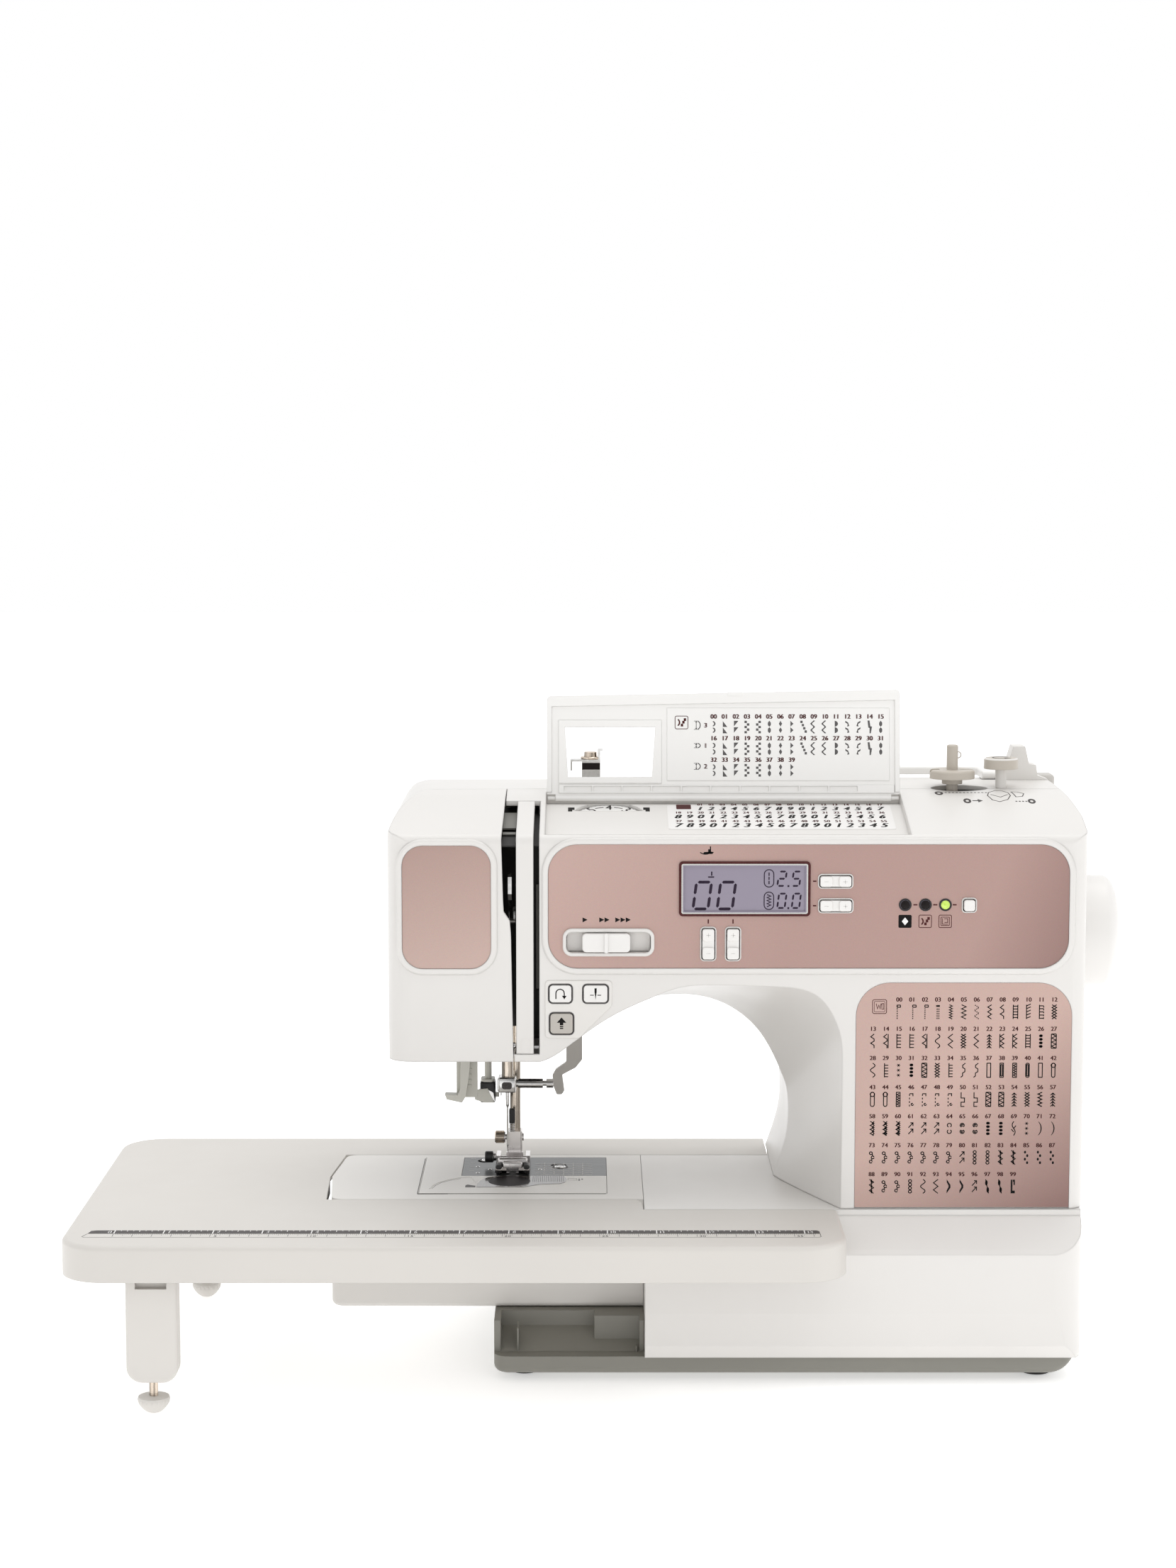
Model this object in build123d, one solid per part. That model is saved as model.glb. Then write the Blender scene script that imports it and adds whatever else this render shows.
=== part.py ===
from build123d import *
import os
import math

# Computerised domestic sewing machine with a clip-on extension table.
# The working frame below has X to the right along the arm, Y from the user towards the back (0 at the front face
# of the arm) and Z up from the table that the machine stands on.  Every solid is moved by (-CX, -CY, 0) on export,
# so that the origin of the part is the centre of its footprint at the level of its feet.

# ---------------------------------------------------------------- driving dimensions, mm
TABLE_X0, TABLE_X1 = -270.0, 132.6      # extension table, left and right ends
TABLE_Y0, TABLE_Y1 = -77.0, 168.0       # extension table, front and back edges
BED_Z = 90.6                            # sewing surface above the floor
APRON_Z = 71.8                          # lower edge of the table's apron
PLATE_T = 2.6                           # table top thickness
BODY_X0, BODY_X1 = -106.0, 265.0        # head's left face, column's right face
BODY_Y1 = 150.0                         # back of the body
HEAD_Z = 170.0                          # underside of the head
TOP_Z = 310.0                           # highest level of the casing
WALL = 2.6                              # casing wall
PART_Y = 76.0                           # parting plane of front and rear covers
GAP = 0.2                               # visible joint gap between casings
WHEEL_X1 = 291.0                        # outer end of the handwheel
WHEEL_Y, WHEEL_Z, WHEEL_R = 75.0, 228.1, 31.0
NEEDLE_X, NEEDLE_Y = -45.0, 88.0
PRESS_X, PRESS_Y = -41.0, 101.0
NEEDLE_BAR_R, PRESS_BAR_R = 3.2, 3.0
HOOK_X, HOOK_Y, HOOK_R = -45.0, 65.5, 21.0
ARM_X0, ARM_Y0, ARM_Y1, ARM_Z0 = -139.6, 21.0, 124.0, 31.0
BASE_X0 = 30.0
SLOPE_Y0, SLOPE_Z0 = 3.0, 289.3         # front edge of the sloping top
SLOPE_Y1, SLOPE_Z1 = 62.0, 304.2        # hinge line of the lid
LID_X0, LID_X1 = -22.3, 169.6
LID_OPEN = 112.2                        # the lid stands open by this many degrees
WINDER_X, WINDER_Y = 200.0, 78.0
MOT_Y, MOT_Z = 56.0, 118.0
PULLEY_R = (20.0, 5.0)                  # motor belt: wheel on the upper shaft, motor pulley

CX = (TABLE_X0 + WHEEL_X1) / 2
CY = (TABLE_Y0 + TABLE_Y1) / 2

SLOPE_A = math.degrees(math.atan2(SLOPE_Z1 - SLOPE_Z0, SLOPE_Y1 - SLOPE_Y0))
parts = {}


def box(x0, x1, y0, y1, z0, z1):
    return Pos((x0 + x1) / 2, (y0 + y1) / 2, (z0 + z1) / 2) * Box(x1 - x0, y1 - y0, z1 - z0)


def cyl_z(x, y, z0, z1, r):
    return Pos(x, y, (z0 + z1) / 2) * Cylinder(r, z1 - z0)


def cyl_x(x0, x1, y, z, r):
    return Pos((x0 + x1) / 2, y, z) * Rot(0, 90, 0) * Cylinder(r, x1 - x0)


def cyl_y(x, y0, y1, z, r):
    return Pos(x, (y0 + y1) / 2, z) * Rot(90, 0, 0) * Cylinder(r, y1 - y0)


def cone_z(x, y, z0, z1, r0, r1):
    return Pos(x, y, (z0 + z1) / 2) * Cone(r0, r1, z1 - z0)


def rrect_y(x0, x1, z0, z1, y0, y1, r):
    """Rounded rectangle in XZ, extruded from y0 to y1."""
    sk = Plane.XZ * Pos((x0 + x1) / 2, (z0 + z1) / 2) * RectangleRounded(x1 - x0, z1 - z0, r)
    return Pos(0, y1, 0) * extrude(sk, y1 - y0)


def rrect_z(x0, x1, y0, y1, z0, z1, r):
    sk = Pos((x0 + x1) / 2, (y0 + y1) / 2, z0) * RectangleRounded(x1 - x0, y1 - y0, r)
    return extrude(sk, z1 - z0)


def poly_xz(pts, y0, y1):
    """Polygon of (x, z) points, extruded from y0 to y1."""
    f = Plane.XZ * make_face(Polyline(*[(p[0], p[1]) for p in pts], close=True))
    return Pos(0, y1, 0) * extrude(f, y1 - y0)


def poly_yz(pts, x0, x1):
    """Polygon of (y, z) points, extruded from x0 to x1."""
    f = Plane.YZ * make_face(Polyline(*[(p[0], p[1]) for p in pts], close=True))
    return Pos(x0, 0, 0) * extrude(f, x1 - x0)


def poly_xy(pts, z0, z1):
    f = make_face(Polyline(*pts, close=True))
    return Pos(0, 0, z0) * extrude(f, z1 - z0)


def fil(shape, edges, r):
    """Fillet that tries smaller radii before it gives up."""
    for k in (1.0, 0.7, 0.4):
        try:
            out = fillet(edges, r * k)
            if out.is_valid and len(out.solids()) == len(shape.solids()):
                return out
        except Exception:
            pass
    print("fillet skipped", r)
    return shape


def fix(shape):
    """One clean Part of the solids in shape."""
    s = shape.solids()
    return s[0] if len(s) == 1 else Compound(list(s))


def put(name, shape):
    sol = shape.solids() if not isinstance(shape, (list, tuple)) else [q for s in shape for q in s.solids()]
    parts[name] = [Pos(-CX, -CY, 0) * s for s in sol]


def slope_z(y):
    return SLOPE_Z0 + (y - SLOPE_Y0) * (SLOPE_Z1 - SLOPE_Z0) / (SLOPE_Y1 - SLOPE_Y0)


# ---------------------------------------------------------------- casing envelope
SIDE_IN = 2.0                           # the right side stands this much further in at the front
HEAD_TOP = 306.6                        # the head is a little lower than the top over the column


def arch_wire(front, g):
    """Closed outline in XZ of the throat opening, at the front face or further back.  g grows it."""
    if front:
        a = [(-25 - g * 0.4, HEAD_Z + g), (-11 - g * 0.5, 178 + g), (14 - g * 0.4, 195.5 + g), (38, 206.5 + g), (62, 211.5 + g)]
        b = [(62, 211.5 + g), (100, 211.0 + g), (122, 206.0 + g * 0.8), (132.5 + g * 0.8, 190.0 + g * 0.3), (135.0 + g, 162.0)]
        xb = 135.0 + g
    else:
        a = [(-27 - g * 0.4, HEAD_Z + g), (-9 - g * 0.5, 173.5 + g), (12 - g * 0.4, 183.5 + g), (32, 190.5 + g), (52, 193.0 + g)]
        b = [(52, 193.0 + g), (76, 187.5 + g), (96 + g * 0.7, 170.5 + g * 0.7), (107.5 + g, 148.0), (111.0 + g, 125.0)]
        xb = 101.0 + g
    y = -2.0 if front else 74.0
    P = lambda p: (p[0], y, p[1])
    e1 = Line(P((-135, 60)), P((-135, HEAD_Z + g)))
    e2 = Line(P((-135, HEAD_Z + g)), P(a[0]))
    e3 = Spline(*[P(p) for p in a], tangents=[(0.9, 0, 0.25), (1, 0, 0)])
    e4 = Spline(*[P(p) for p in b], tangents=[(1, 0, 0), (0, 0, -1)])
    if front:
        e5 = Line(P(b[-1]), P((xb, 60)))
    else:
        e5 = Spline(P(b[-1]), P((108.0 + g, 106.0)), P((xb, 84.0)), P((xb - 4, 60.0)), tangents=[(0, 0, -1), (-0.15, 0, -1)])
    e6 = Line(e5 @ 1, P((-135, 60)))
    return make_face(Wire([*e1.edges(), *e2.edges(), *e3.edges(), *e4.edges(), *e5.edges(), *e6.edges()]))


def arch(g):
    f, m = arch_wire(True, g), arch_wire(False, g)
    front = loft([f, m], ruled=True)
    back = extrude(m, 90, dir=(0, 1, 0))
    return front + back


def envelope(o):
    """Body of head, arm and column with every face moved in by o."""
    x0, x1 = BODY_X0 + o, BODY_X1 - o
    # outline from the front: rounded top corners
    with BuildSketch(Plane.XZ) as sk:
        with BuildLine():
            rl = 19.5 - o
            zt, zh = TOP_Z + 0.6 - o, HEAD_TOP - o
            Line((x0 + 2.0, 80), (x0, 200))
            Line((x0, 200), (x0, zh - rl))
            RadiusArc((x0, zh - rl), (x0 + rl, zh), rl)
            Line((x0 + rl, zh), (-34, zh + 0.2))
            Spline((-34, zh + 0.2), (18, (zh + zt) / 2), (70, zt), tangents=[(1, 0), (1, 0)])
            Line((70, zt), (x1 - 20, zt))
            Spline((x1 - 20, zt), (x1 - 5.6, zt - 4.2), (x1 - 1.0, zt - 14), (x1, zt - 30), tangents=[(1, 0), (0.02, -1)])
            Line((x1, zt - 30), (x1, 80))
            Line((x1, 80), (x0 + 2.0, 80))
        make_face()
    a = Pos(0, 160, 0) * extrude(sk.sketch, 170)
    # section from the side: vertical face, sloping top, rounded back
    y1 = BODY_Y1 - o
    with BuildSketch(Plane.YZ) as sk2:
        with BuildLine() as bl:
            Polyline((o, 80), (o, SLOPE_Z0 + 0.6 - o), (SLOPE_Y1, SLOPE_Z1 + 1.2 - o), (112, TOP_Z + 0.4 - o), (y1, TOP_Z - 9 - o), (y1, 80), close=True)
        make_face()
        for (yy, zz), r in (((o, SLOPE_Z0 + 0.6 - o), 5.0), ((y1, TOP_Z - 9 - o), 12.0), ((112, TOP_Z + 0.4 - o), 40.0), ((SLOPE_Y1, SLOPE_Z1 + 1.2 - o), 60.0)):
            v = min(sk2.vertices(), key=lambda q: (q.X - yy) ** 2 + (q.Y - zz) ** 2)
            try:
                fillet(v, r)
            except Exception:
                print("section fillet skipped", yy, zz)
    b = Pos(-120, 0, 0) * extrude(sk2.sketch, 400)
    # plan: rounded vertical edges
    with BuildSketch() as sk3:
        with BuildLine():
            Polyline((x0, o), (x1 - SIDE_IN, o), (x1, 75), (x1, y1), (x0, y1), close=True)
        make_face()
        for (xx, yy), r in (((x0, o), 13.0 - o), ((x1 - SIDE_IN, o), 9.0 - o), ((x1, 75), 200.0), ((x1, y1), 16.0 - o), ((x0, y1), 16.0 - o)):
            v = min(sk3.vertices(), key=lambda q: (q.X - xx) ** 2 + (q.Y - yy) ** 2)
            fillet(v, r)
    c = extrude(sk3.sketch, 400)
    body = a & b & c
    if not o:
        # soft edge where the sloping top meets the two ends
        e = [q for q in body.edges() if 290.5 < q.center().Z < 305 and 6 < q.center().Y < 60 and (q.center().X < x0 + 14 or q.center().X > x1 - 14)]
        print("end edges", len(e))
        if e:
            body = fil(body, e, 3.5)
    body = body & box(-300, 300, -50, 300, BED_Z + GAP - 0.2 * (o > 0) * 30, 400)
    return body - arch(o)


outer = envelope(0.0)
inner = envelope(WALL)
# the sloping top carries the lid recess, so its wall is set lower there
lid_block = poly_yz([(-5, 200), (-5, slope_z(-5) + 20), (68, slope_z(68) + 20), (68, slope_z(68) - 6.6), (2.6, slope_z(2.6) - 6.6), (2.6, 200)], LID_X0 - 4, LID_X1 + 4)
inner = inner - lid_block
shell = outer - inner
recess = poly_yz([(SLOPE_Y0 + 0.2, slope_z(SLOPE_Y0) - 3.2), (SLOPE_Y0 + 0.2, slope_z(SLOPE_Y0) + 20), (SLOPE_Y1 + 5.5, slope_z(SLOPE_Y1) + 20), (SLOPE_Y1 + 5.5, slope_z(SLOPE_Y1 + 5.5) - 3.2)], LID_X0 - 0.4, LID_X1 + 0.4)
shell = shell - recess
# hinge trough behind the recess
shell = shell - box(LID_X0 - 0.4, LID_X1 + 0.4, SLOPE_Y1 - 3.5, SLOPE_Y1 + 5.5, SLOPE_Z1 - 4.6, SLOPE_Z1 + 20)

# ---------------------------------------------------------------- panels set in the front face
def panel_seat(x0, x1, z0, z1, r, proud=1.3, rim=3.2):
    """Raised bead round a panel."""
    pad = rrect_y(x0 - rim, x1 + rim, z0 - rim, z1 + rim, -proud, 1.7, r + rim)
    e = pad.faces().sort_by(Axis.Y)[0].edges()
    return fil(pad, e, 1.1)


PANEL = dict(x0=-21.0, x1=252.9, z0=220.2, z1=286.0, r=15.5)
CHART = dict(x0=141.4, x1=255.4, z0=91.6, z1=212.4, r=18.0)
BADGE = dict(x0=-97.8, x1=-51.0, z0=219.9, z1=285.3, r=11.0)

# ---------------------------------------------------------------- front cover (arm and column)
slot_l, slot_r = -28.7, -25.6
front_zone = box(slot_r, 300, -30, PART_Y, 60, 400) + box(-44.2, slot_r + 1, 52, PART_Y, 285, 400) + box(-38.9, slot_r + 1, -30, PART_Y, 160, HEAD_Z + 4.0)
front = shell & front_zone
front = front + (panel_seat(**PANEL) & front_zone)
front = front - rrect_y(PANEL["x0"], PANEL["x1"], PANEL["z0"], PANEL["z1"], -5, -0.1, PANEL["r"])
front = front - rrect_y(PANEL["x0"], PANEL["x1"], PANEL["z0"], PANEL["z1"], -0.2, 0.0, PANEL["r"])
# chart panel pocket, open to the bed
chart_pocket = rrect_y(CHART["x0"], CHART["x1"], 60, CHART["z1"], -1, 0.9, CHART["r"]) & box(-300, 300, -5, 5, CHART["z0"] - 0.6, 400)
front = front - chart_pocket
# openings in the face for display, slider, keys, lamps and buttons
LCD = (50.0, 114.5, 250.2, 274.8)
SLIDE = (-11.4, 33.0, 228.6, 239.6)
face_cuts = [box(LCD[0] - 1, LCD[1] + 1, -3, 4, LCD[2] - 1, LCD[3] + 1), box(SLIDE[0], SLIDE[1], -3, 4, SLIDE[2], SLIDE[3])]
ROCK = {"length_rocker": (121.3, 138.6, 263.2, 269.8), "width_rocker": (121.4, 138.8, 250.2, 256.9),
        "tens_rocker": (59.6, 66.9, 224.7, 241.8), "units_rocker": (72.6, 79.9, 224.7, 241.8)}
for x0, x1, z0, z1 in ROCK.values():
    face_cuts.append(box(x0, x1, -3, 4, z0, z1))
MODE = (196.9, 203.6, 250.4, 257.2)
face_cuts.append(box(MODE[0], MODE[1], -3, 4, MODE[2], MODE[3]))
LAMPS = [(166.6, 254.0), (177.2, 254.0), (187.7, 254.0)]
for lx, lz in LAMPS:
    face_cuts.append(cyl_y(lx, -3, 4, lz, 2.9))
for c in face_cuts:
    front = front - c
BUT = {"reverse_button": (-20.4, -8.6, 201.9, 211.3), "needle_button": (-2.4, 10.4, 201.9, 211.3), "start_button": (-20.0, -7.9, 185.2, 196.2)}
for x0, x1, z0, z1 in BUT.values():
    front = front - box(x0 - 0.3, x1 + 0.3, -3, 6, z0 - 0.3, z1 + 0.3)
# round the front lower edge of the arm a little where the buttons sit, and the dial window
dial_n = (0, -math.sin(math.radians(SLOPE_A)), math.cos(math.radians(SLOPE_A)))
DIAL_X, DIAL_Y, DIAL_R = 11.3, 43.0, 19.0
DIAL_CUT = 26.4                         # offset of the half-round opening over the dial
dial_pl = Plane(origin=(DIAL_X, DIAL_Y, slope_z(DIAL_Y) - 3.2), x_dir=(1, 0, 0), z_dir=dial_n)
dial_hole = dial_pl * Pos(0, 0, -6) * extrude(Circle(DIAL_R + 0.5) & Pos(0, DIAL_CUT) * Rectangle(60, 40), 12)
dial_pocket = dial_pl * Pos(0, 0, -12) * extrude(Circle(DIAL_R + 0.6), 10.8)
front = front - dial_hole - dial_pocket
front = front - cyl_z(WINDER_X, WINDER_Y, 295, 330, 5.0)
parts_front = front

# ---------------------------------------------------------------- face cover (left end)
edge_l = [(-160, 60), (-39.4, 60), (-39.4, 170.3), (-40.6, 238.0), (-41.2, 245.4), (-44.4, 250.2), (-44.7, 256.0), (-45.6, 288.0), (-44.6, 306.0), (-44.6, 420), (-160, 420)]
face_zone = poly_xz(edge_l, -30, PART_Y)
face = shell & face_zone
face = face + (panel_seat(**BADGE) & face_zone)
face = face - rrect_y(BADGE["x0"], BADGE["x1"], BADGE["z0"], BADGE["z1"], -5, 0.0, BADGE["r"])

# ---------------------------------------------------------------- guide strip between the two thread slots
strip_zone = box(-37.8, slot_l, -30, 51.6, HEAD_Z + 4.3, 400)
strip = (shell & strip_zone)
lo = [e for e in strip.edges() if e.center().Y < 1.5 and abs(e.center().Z - (HEAD_Z + 4.3)) < 0.3]
strip = fix(strip)

# ---------------------------------------------------------------- rear cover
rear = shell & box(-300, 300, PART_Y + GAP, 300, 60, 400)
rear = rear - cyl_y(-30.0, 140, 152, 180.0, 3.1)                      # lifter pivot
rear = rear - cyl_x(255, 270, WHEEL_Y, WHEEL_Z, 8.0)
rear = rear - cyl_z(WINDER_X, WINDER_Y, 295, 330, 5.0)
winder_slot = extrude(Pos(WINDER_X + 4, WINDER_Y, 296) * Ellipse(15.5, 7.5), 30)
rear = rear - winder_slot
front = front - winder_slot
front = front - cyl_x(255, 270, WHEEL_Y, WHEEL_Z, 8.0)
# handle trough on the top
rear = rear - box(58.8, 232.2, 101.0, 137.2, TOP_Z - 1.4, TOP_Z + 5)
# power inlet window in the right side
rear = rear - box(258, 270, 99.8, 134.2, 111.8, 150.2)
top_ends = box(-300, 300, -30, 300, 0, 400)

# presser bar, needle bar and threader come out through the open underside of the head
under = box(-97, -30, 40, 130, HEAD_Z - 4, HEAD_Z + WALL + 0.6)
under2 = under + box(-31, -24, 70, 112, HEAD_Z - 4, HEAD_Z + WALL + 0.6)
front = front - under2
face = face - under2
rear = rear - under2

put("front_cover", front)
put("face_cover", face)
put("guide_strip", strip)
for lx0, lx1 in ((54.6, 58.7), (232.3, 236.4)):
    lug = box(lx0, lx1, 102.0, 108.8, 307.0, 314.0)
    lug = fil(lug, [e for e in lug.edges() if abs(e.tangent_at(0.5).X) > 0.9 and e.center().Z > 310], 2.2)
    rear = rear + lug - cyl_x(lx0 - 0.3 + (0.9 if lx0 < 100 else -1), lx1 + 0.3 - (-1 if lx0 < 100 else 0.9), 105.4, 311.4, 1.26)
put("rear_cover", rear)

# ---------------------------------------------------------------- rose panels
def panel_plate(d, y0, y1):
    return rrect_y(d["x0"] + 0.15, d["x1"] - 0.15, d["z0"] + 0.15, d["z1"] - 0.15, y0, y1, d["r"] - 0.15)


ctl = panel_plate(PANEL, -0.8, 0.0)
for c in face_cuts:
    ctl = ctl - c
put("control_panel", ctl)
chart = (rrect_y(CHART["x0"] + 0.15, CHART["x1"] - 0.15, 60, CHART["z1"] - 0.15, 0.1, 0.9, CHART["r"] - 0.15) & box(-300, 300, -5, 5, CHART["z0"], 400))
put("chart_panel", chart)
put("badge_panel", panel_plate(BADGE, -0.8, 0.0))

# ---------------------------------------------------------------- display module: frame, glass and three lamps
fr = rrect_y(LCD[0] - 2.0, LCD[1] + 2.0, LCD[2] - 2.0, LCD[3] + 2.0, -1.5, -0.8, 1.6)
fr = fr - box(LCD[0] + 0.4, LCD[1] - 0.4, -4, 4, LCD[2] + 0.4, LCD[3] - 0.4)
glass = box(LCD[0] - 0.9, LCD[1] + 0.9, -0.75, 3.5, LCD[2] - 0.9, LCD[3] + 0.9)
lamps = [cyl_y(lx, -1.3, 3.5, lz, 2.6) for lx, lz in LAMPS]
lamps = [fil(l, l.faces().sort_by(Axis.Y)[0].edges(), 0.9) for l in lamps]
put("display_module", [fr, glass, *lamps])

# ---------------------------------------------------------------- bezels round the slider and the rocker keys
def bezel(x0, x1, z0, z1, w, r, y0=-1.7):
    b = rrect_y(x0 - w, x1 + w, z0 - w, z1 + w, y0, -0.8, r + w)
    b = fil(b, b.faces().sort_by(Axis.Y)[0].edges(), 0.5)
    return b - rrect_y(x0, x1, z0, z1, -6, 3, r)


bez = [bezel(SLIDE[0], SLIDE[1], SLIDE[2], SLIDE[3], 1.9, 3.0, -2.2)]
# the slider runs in a tray behind the face
tray = box(SLIDE[0] + 0.2, SLIDE[1] - 0.2, 2.65, 6.5, SLIDE[2] + 0.2, SLIDE[3] - 0.2) 
bez.append(tray)
for x0, x1, z0, z1 in ROCK.values():
    bez.append(bezel(x0, x1, z0, z1, 0.7, 1.6))
bez.append(bezel(MODE[0], MODE[1], MODE[2], MODE[3], 0.7, 1.4))
put("panel_bezels", bez)

# ---------------------------------------------------------------- rocker keys, one moulding each
for name, (x0, x1, z0, z1) in ROCK.items():
    g = 0.5
    cz, cx = (z0 + z1) / 2, (x0 + x1) / 2
    web = rrect_y(x0 + g, x1 - g, z0 + g, z1 - g, -1.9, 2.2, 1.2)
    if x1 - x0 > z1 - z0:
        caps = [rrect_y(x0 + g, x0 + g + 6.4, z0 + g, z1 - g, -3.1, 0, 1.3), rrect_y(x1 - g - 6.4, x1 - g, z0 + g, z1 - g, -3.1, 0, 1.3)]
    else:
        caps = [rrect_y(x0 + g, x1 - g, z0 + g, z0 + g + 6.4, -3.1, 0, 1.3), rrect_y(x0 + g, x1 - g, z1 - g - 6.4, z1 - g, -3.1, 0, 1.3)]
    caps = [fil(c, c.faces().sort_by(Axis.Y)[0].edges(), 0.5) for c in caps]
    put(name, web + caps[0] + caps[1])

g = 0.45
mk = rrect_y(MODE[0] + g, MODE[1] - g, MODE[2] + g, MODE[3] - g, -3.2, 2.2, 1.3)
put("mode_button", fil(mk, mk.faces().sort_by(Axis.Y)[0].edges(), 0.6))

# ---------------------------------------------------------------- speed slider knob
kn = rrect_y(-3.0, 22.2, SLIDE[2] + 0.5, SLIDE[3] - 0.5, -3.9, 0.4, 2.2)
kn = fil(kn, kn.faces().sort_by(Axis.Y)[0].edges(), 0.8)
kn = kn + rrect_y(8.6, 10.6, SLIDE[2] + 0.3, SLIDE[3] - 0.3, -5.0, -3.0, 0.8) + box(6, 13, 0.3, 2.5, SLIDE[2] + 2.5, SLIDE[3] - 2.5)
put("speed_knob", kn)

# ---------------------------------------------------------------- button cluster plate and its buttons
cl = poly_xz([(-22.6, 213.6), (12.6, 213.6), (12.6, 200.0), (-4.6, 182.8), (-22.6, 182.8)], -0.7, 0.0)
ve = [e for e in cl.edges() if abs(e.tangent_at(0.5).Y) > 0.9]
cl = fil(cl, ve, 2.0)
cl = fil(cl, cl.faces().sort_by(Axis.Y)[0].edges(), 0.4)
for x0, x1, z0, z1 in BUT.values():
    cl = cl - rrect_y(x0 - 0.3, x1 + 0.3, z0 - 0.3, z1 + 0.3, -3, 3, 2.0)
put("button_plate", cl)
for name, (x0, x1, z0, z1) in BUT.items():
    b = rrect_y(x0 + 0.15, x1 - 0.15, z0 + 0.15, z1 - 0.15, -1.6, 4.5, 1.8)
    put(name, fil(b, b.faces().sort_by(Axis.Y)[0].edges(), 0.6))

# ---------------------------------------------------------------- base cover, tray, feet
def base_sides(o, y0, y1, xl=-150.0):
    """Plan and front outline of the base: right side set in towards the front, wide round corner at the lower right."""
    with BuildSketch() as s3:
        with BuildLine():
            Polyline((xl, y0), (BODY_X1 - 4.4 - o, y0), (BODY_X1 - o, 75), (BODY_X1 - o, y1), (xl, y1), close=True)
        make_face()
        for (xx, yy), r in (((BODY_X1 - 4.4 - o, y0), 17.0 - o), ((BODY_X1 - o, 75), 200.0), ((BODY_X1 - o, y1), 13.0 - o)):
            v = min(s3.vertices(), key=lambda q: (q.X - xx) ** 2 + (q.Y - yy) ** 2)
            fillet(v, r)
    c = extrude(s3.sketch, 200)
    with BuildSketch(Plane.XZ) as s2:
        with BuildLine():
            Polyline((-200, 4), (BODY_X1 - 2.8 - o, 4), (BODY_X1 - 2.8 - o, 26), (BODY_X1 + 0.2 - o, 100), (BODY_X1 + 0.2 - o, 130), (-200, 130), close=True)
        make_face()
        v = min(s2.vertices(), key=lambda q: (q.X - BODY_X1 + 2.8 + o) ** 2 + (q.Y - 4) ** 2)
        fillet(v, 18.0 - o)
    d = Pos(0, 260, 0) * extrude(s2.sketch, 400)
    return c & d


def base_env(o):
    sec = [(-15 + o, 14.0), (-20.5 + o, 22.0), (-22 + o, 40.0), (-22 + o, 71.5 - o * 0.6), (-19.5 + o * 0.8, 73.8 - o), (-2.6, 87.0 - o), (-1.0, 87.4 - o), (-1.0, BED_Z - o), (151 - o, BED_Z - o), (151 - o, 14.0)]
    if o:
        sec = [(-15 + o, 13.0), (-20.5 + o, 22.0), (-22 + o, 40.0), (-22 + o, 71.5 - o), (-1.0 + o, 87.4 - o * 1.4), (151 - o, BED_Z - o), (151 - o, 13.0)]
    a = poly_yz(sec, BASE_X0 + o, BODY_X1 - o)
    with BuildSketch() as s:
        with BuildLine():
            Polyline((BASE_X0 + o, -30), (BODY_X1 - o, -30), (BODY_X1 - o, 151 - o), (104 + o, 151 - o), (104 + o, ARM_Y1 - o), (BASE_X0 + o, ARM_Y1 - o), close=True)
        make_face()
    plan = extrude(s.sketch, 200)
    return a & plan & base_sides(o, -22 + o, 151 - o)


bo, bi = base_env(0.0), base_env(WALL)
base = bo - bi
base = base - box(148, 252, 18, 130, 80, 100)                        # passage up into the column
base = base - box(BASE_X0 - 1, BASE_X0 + 5, 26, 119, 36, 86)           # passage into the free arm
base = fix(base)
put("base_cover", base)

tray0 = rrect_z(-50.0, 300.0, -12.0, 149.0, 4.0, 13.8, 8.0) & base_sides(0.4, -12.0, 149.0)
tray0 = fil(tray0, [e for e in tray0.faces().sort_by(Axis.Z)[0].edges() if e.center().X < 235], 4.0)
blk = box(-50.0, BASE_X0 - 0.2, -3.0, 132.0, 8.0, ARM_Z0 - 0.2)
# the block's front is cut back: a deep pocket on the left, a shallow one on the right, over one sloping floor
blk = blk - poly_yz([(-4.0, 13.6), (16.0, 22.6), (16.0, 40.0), (-4.0, 40.0)], -46.5, 3.4) - poly_yz([(-4.0, 13.6), (6.0, 18.1), (6.0, 40.0), (-4.0, 40.0)], 3.0, 27.4)
tray0 = tray0 + blk
tray0 = tray0 + box(-37.8, -36.9, -3.0, 10.0, 10.0, 26.5) + box(25.4, 26.2, -4.0, 0.0, 12.0, 17.0)
tray0 = tray0 - box(-43.2, -37.8, -3.2, 12.0, 11.2, 12.8)
tray0 = tray0 - box(-44, 24, 22, 126, 8, ARM_Z0 - 3) - box(34, 240, 0, 140, 7, 15)
put("base_tray", fix(tray0))

feet_pts = [(-34.0, 10.0), (-34.0, 128.0), (240.0, 8.0), (240.0, 132.0)]
feet = []
for fx, fy in feet_pts:
    f = cyl_z(fx, fy, 0, 4.0, 8.5)
    feet.append(fil(f, f.faces().sort_by(Axis.Z)[0].edges(), 1.0))
put("rubber_feet", feet)

# ---------------------------------------------------------------- free arm
def arm_env(o):
    pts = [(ARM_X0 + o + 1.5, ARM_Y0 + o), (BASE_X0 - GAP - 0 * o, ARM_Y0 + o), (BASE_X0 - GAP - 0 * o, ARM_Y1 - o), (ARM_X0 + 2.5 + o, ARM_Y1 - o), (ARM_X0 - 2.4 + o, 72.0)]
    p = poly_xy(pts, ARM_Z0 + o, BED_Z - o)
    return p


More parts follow.
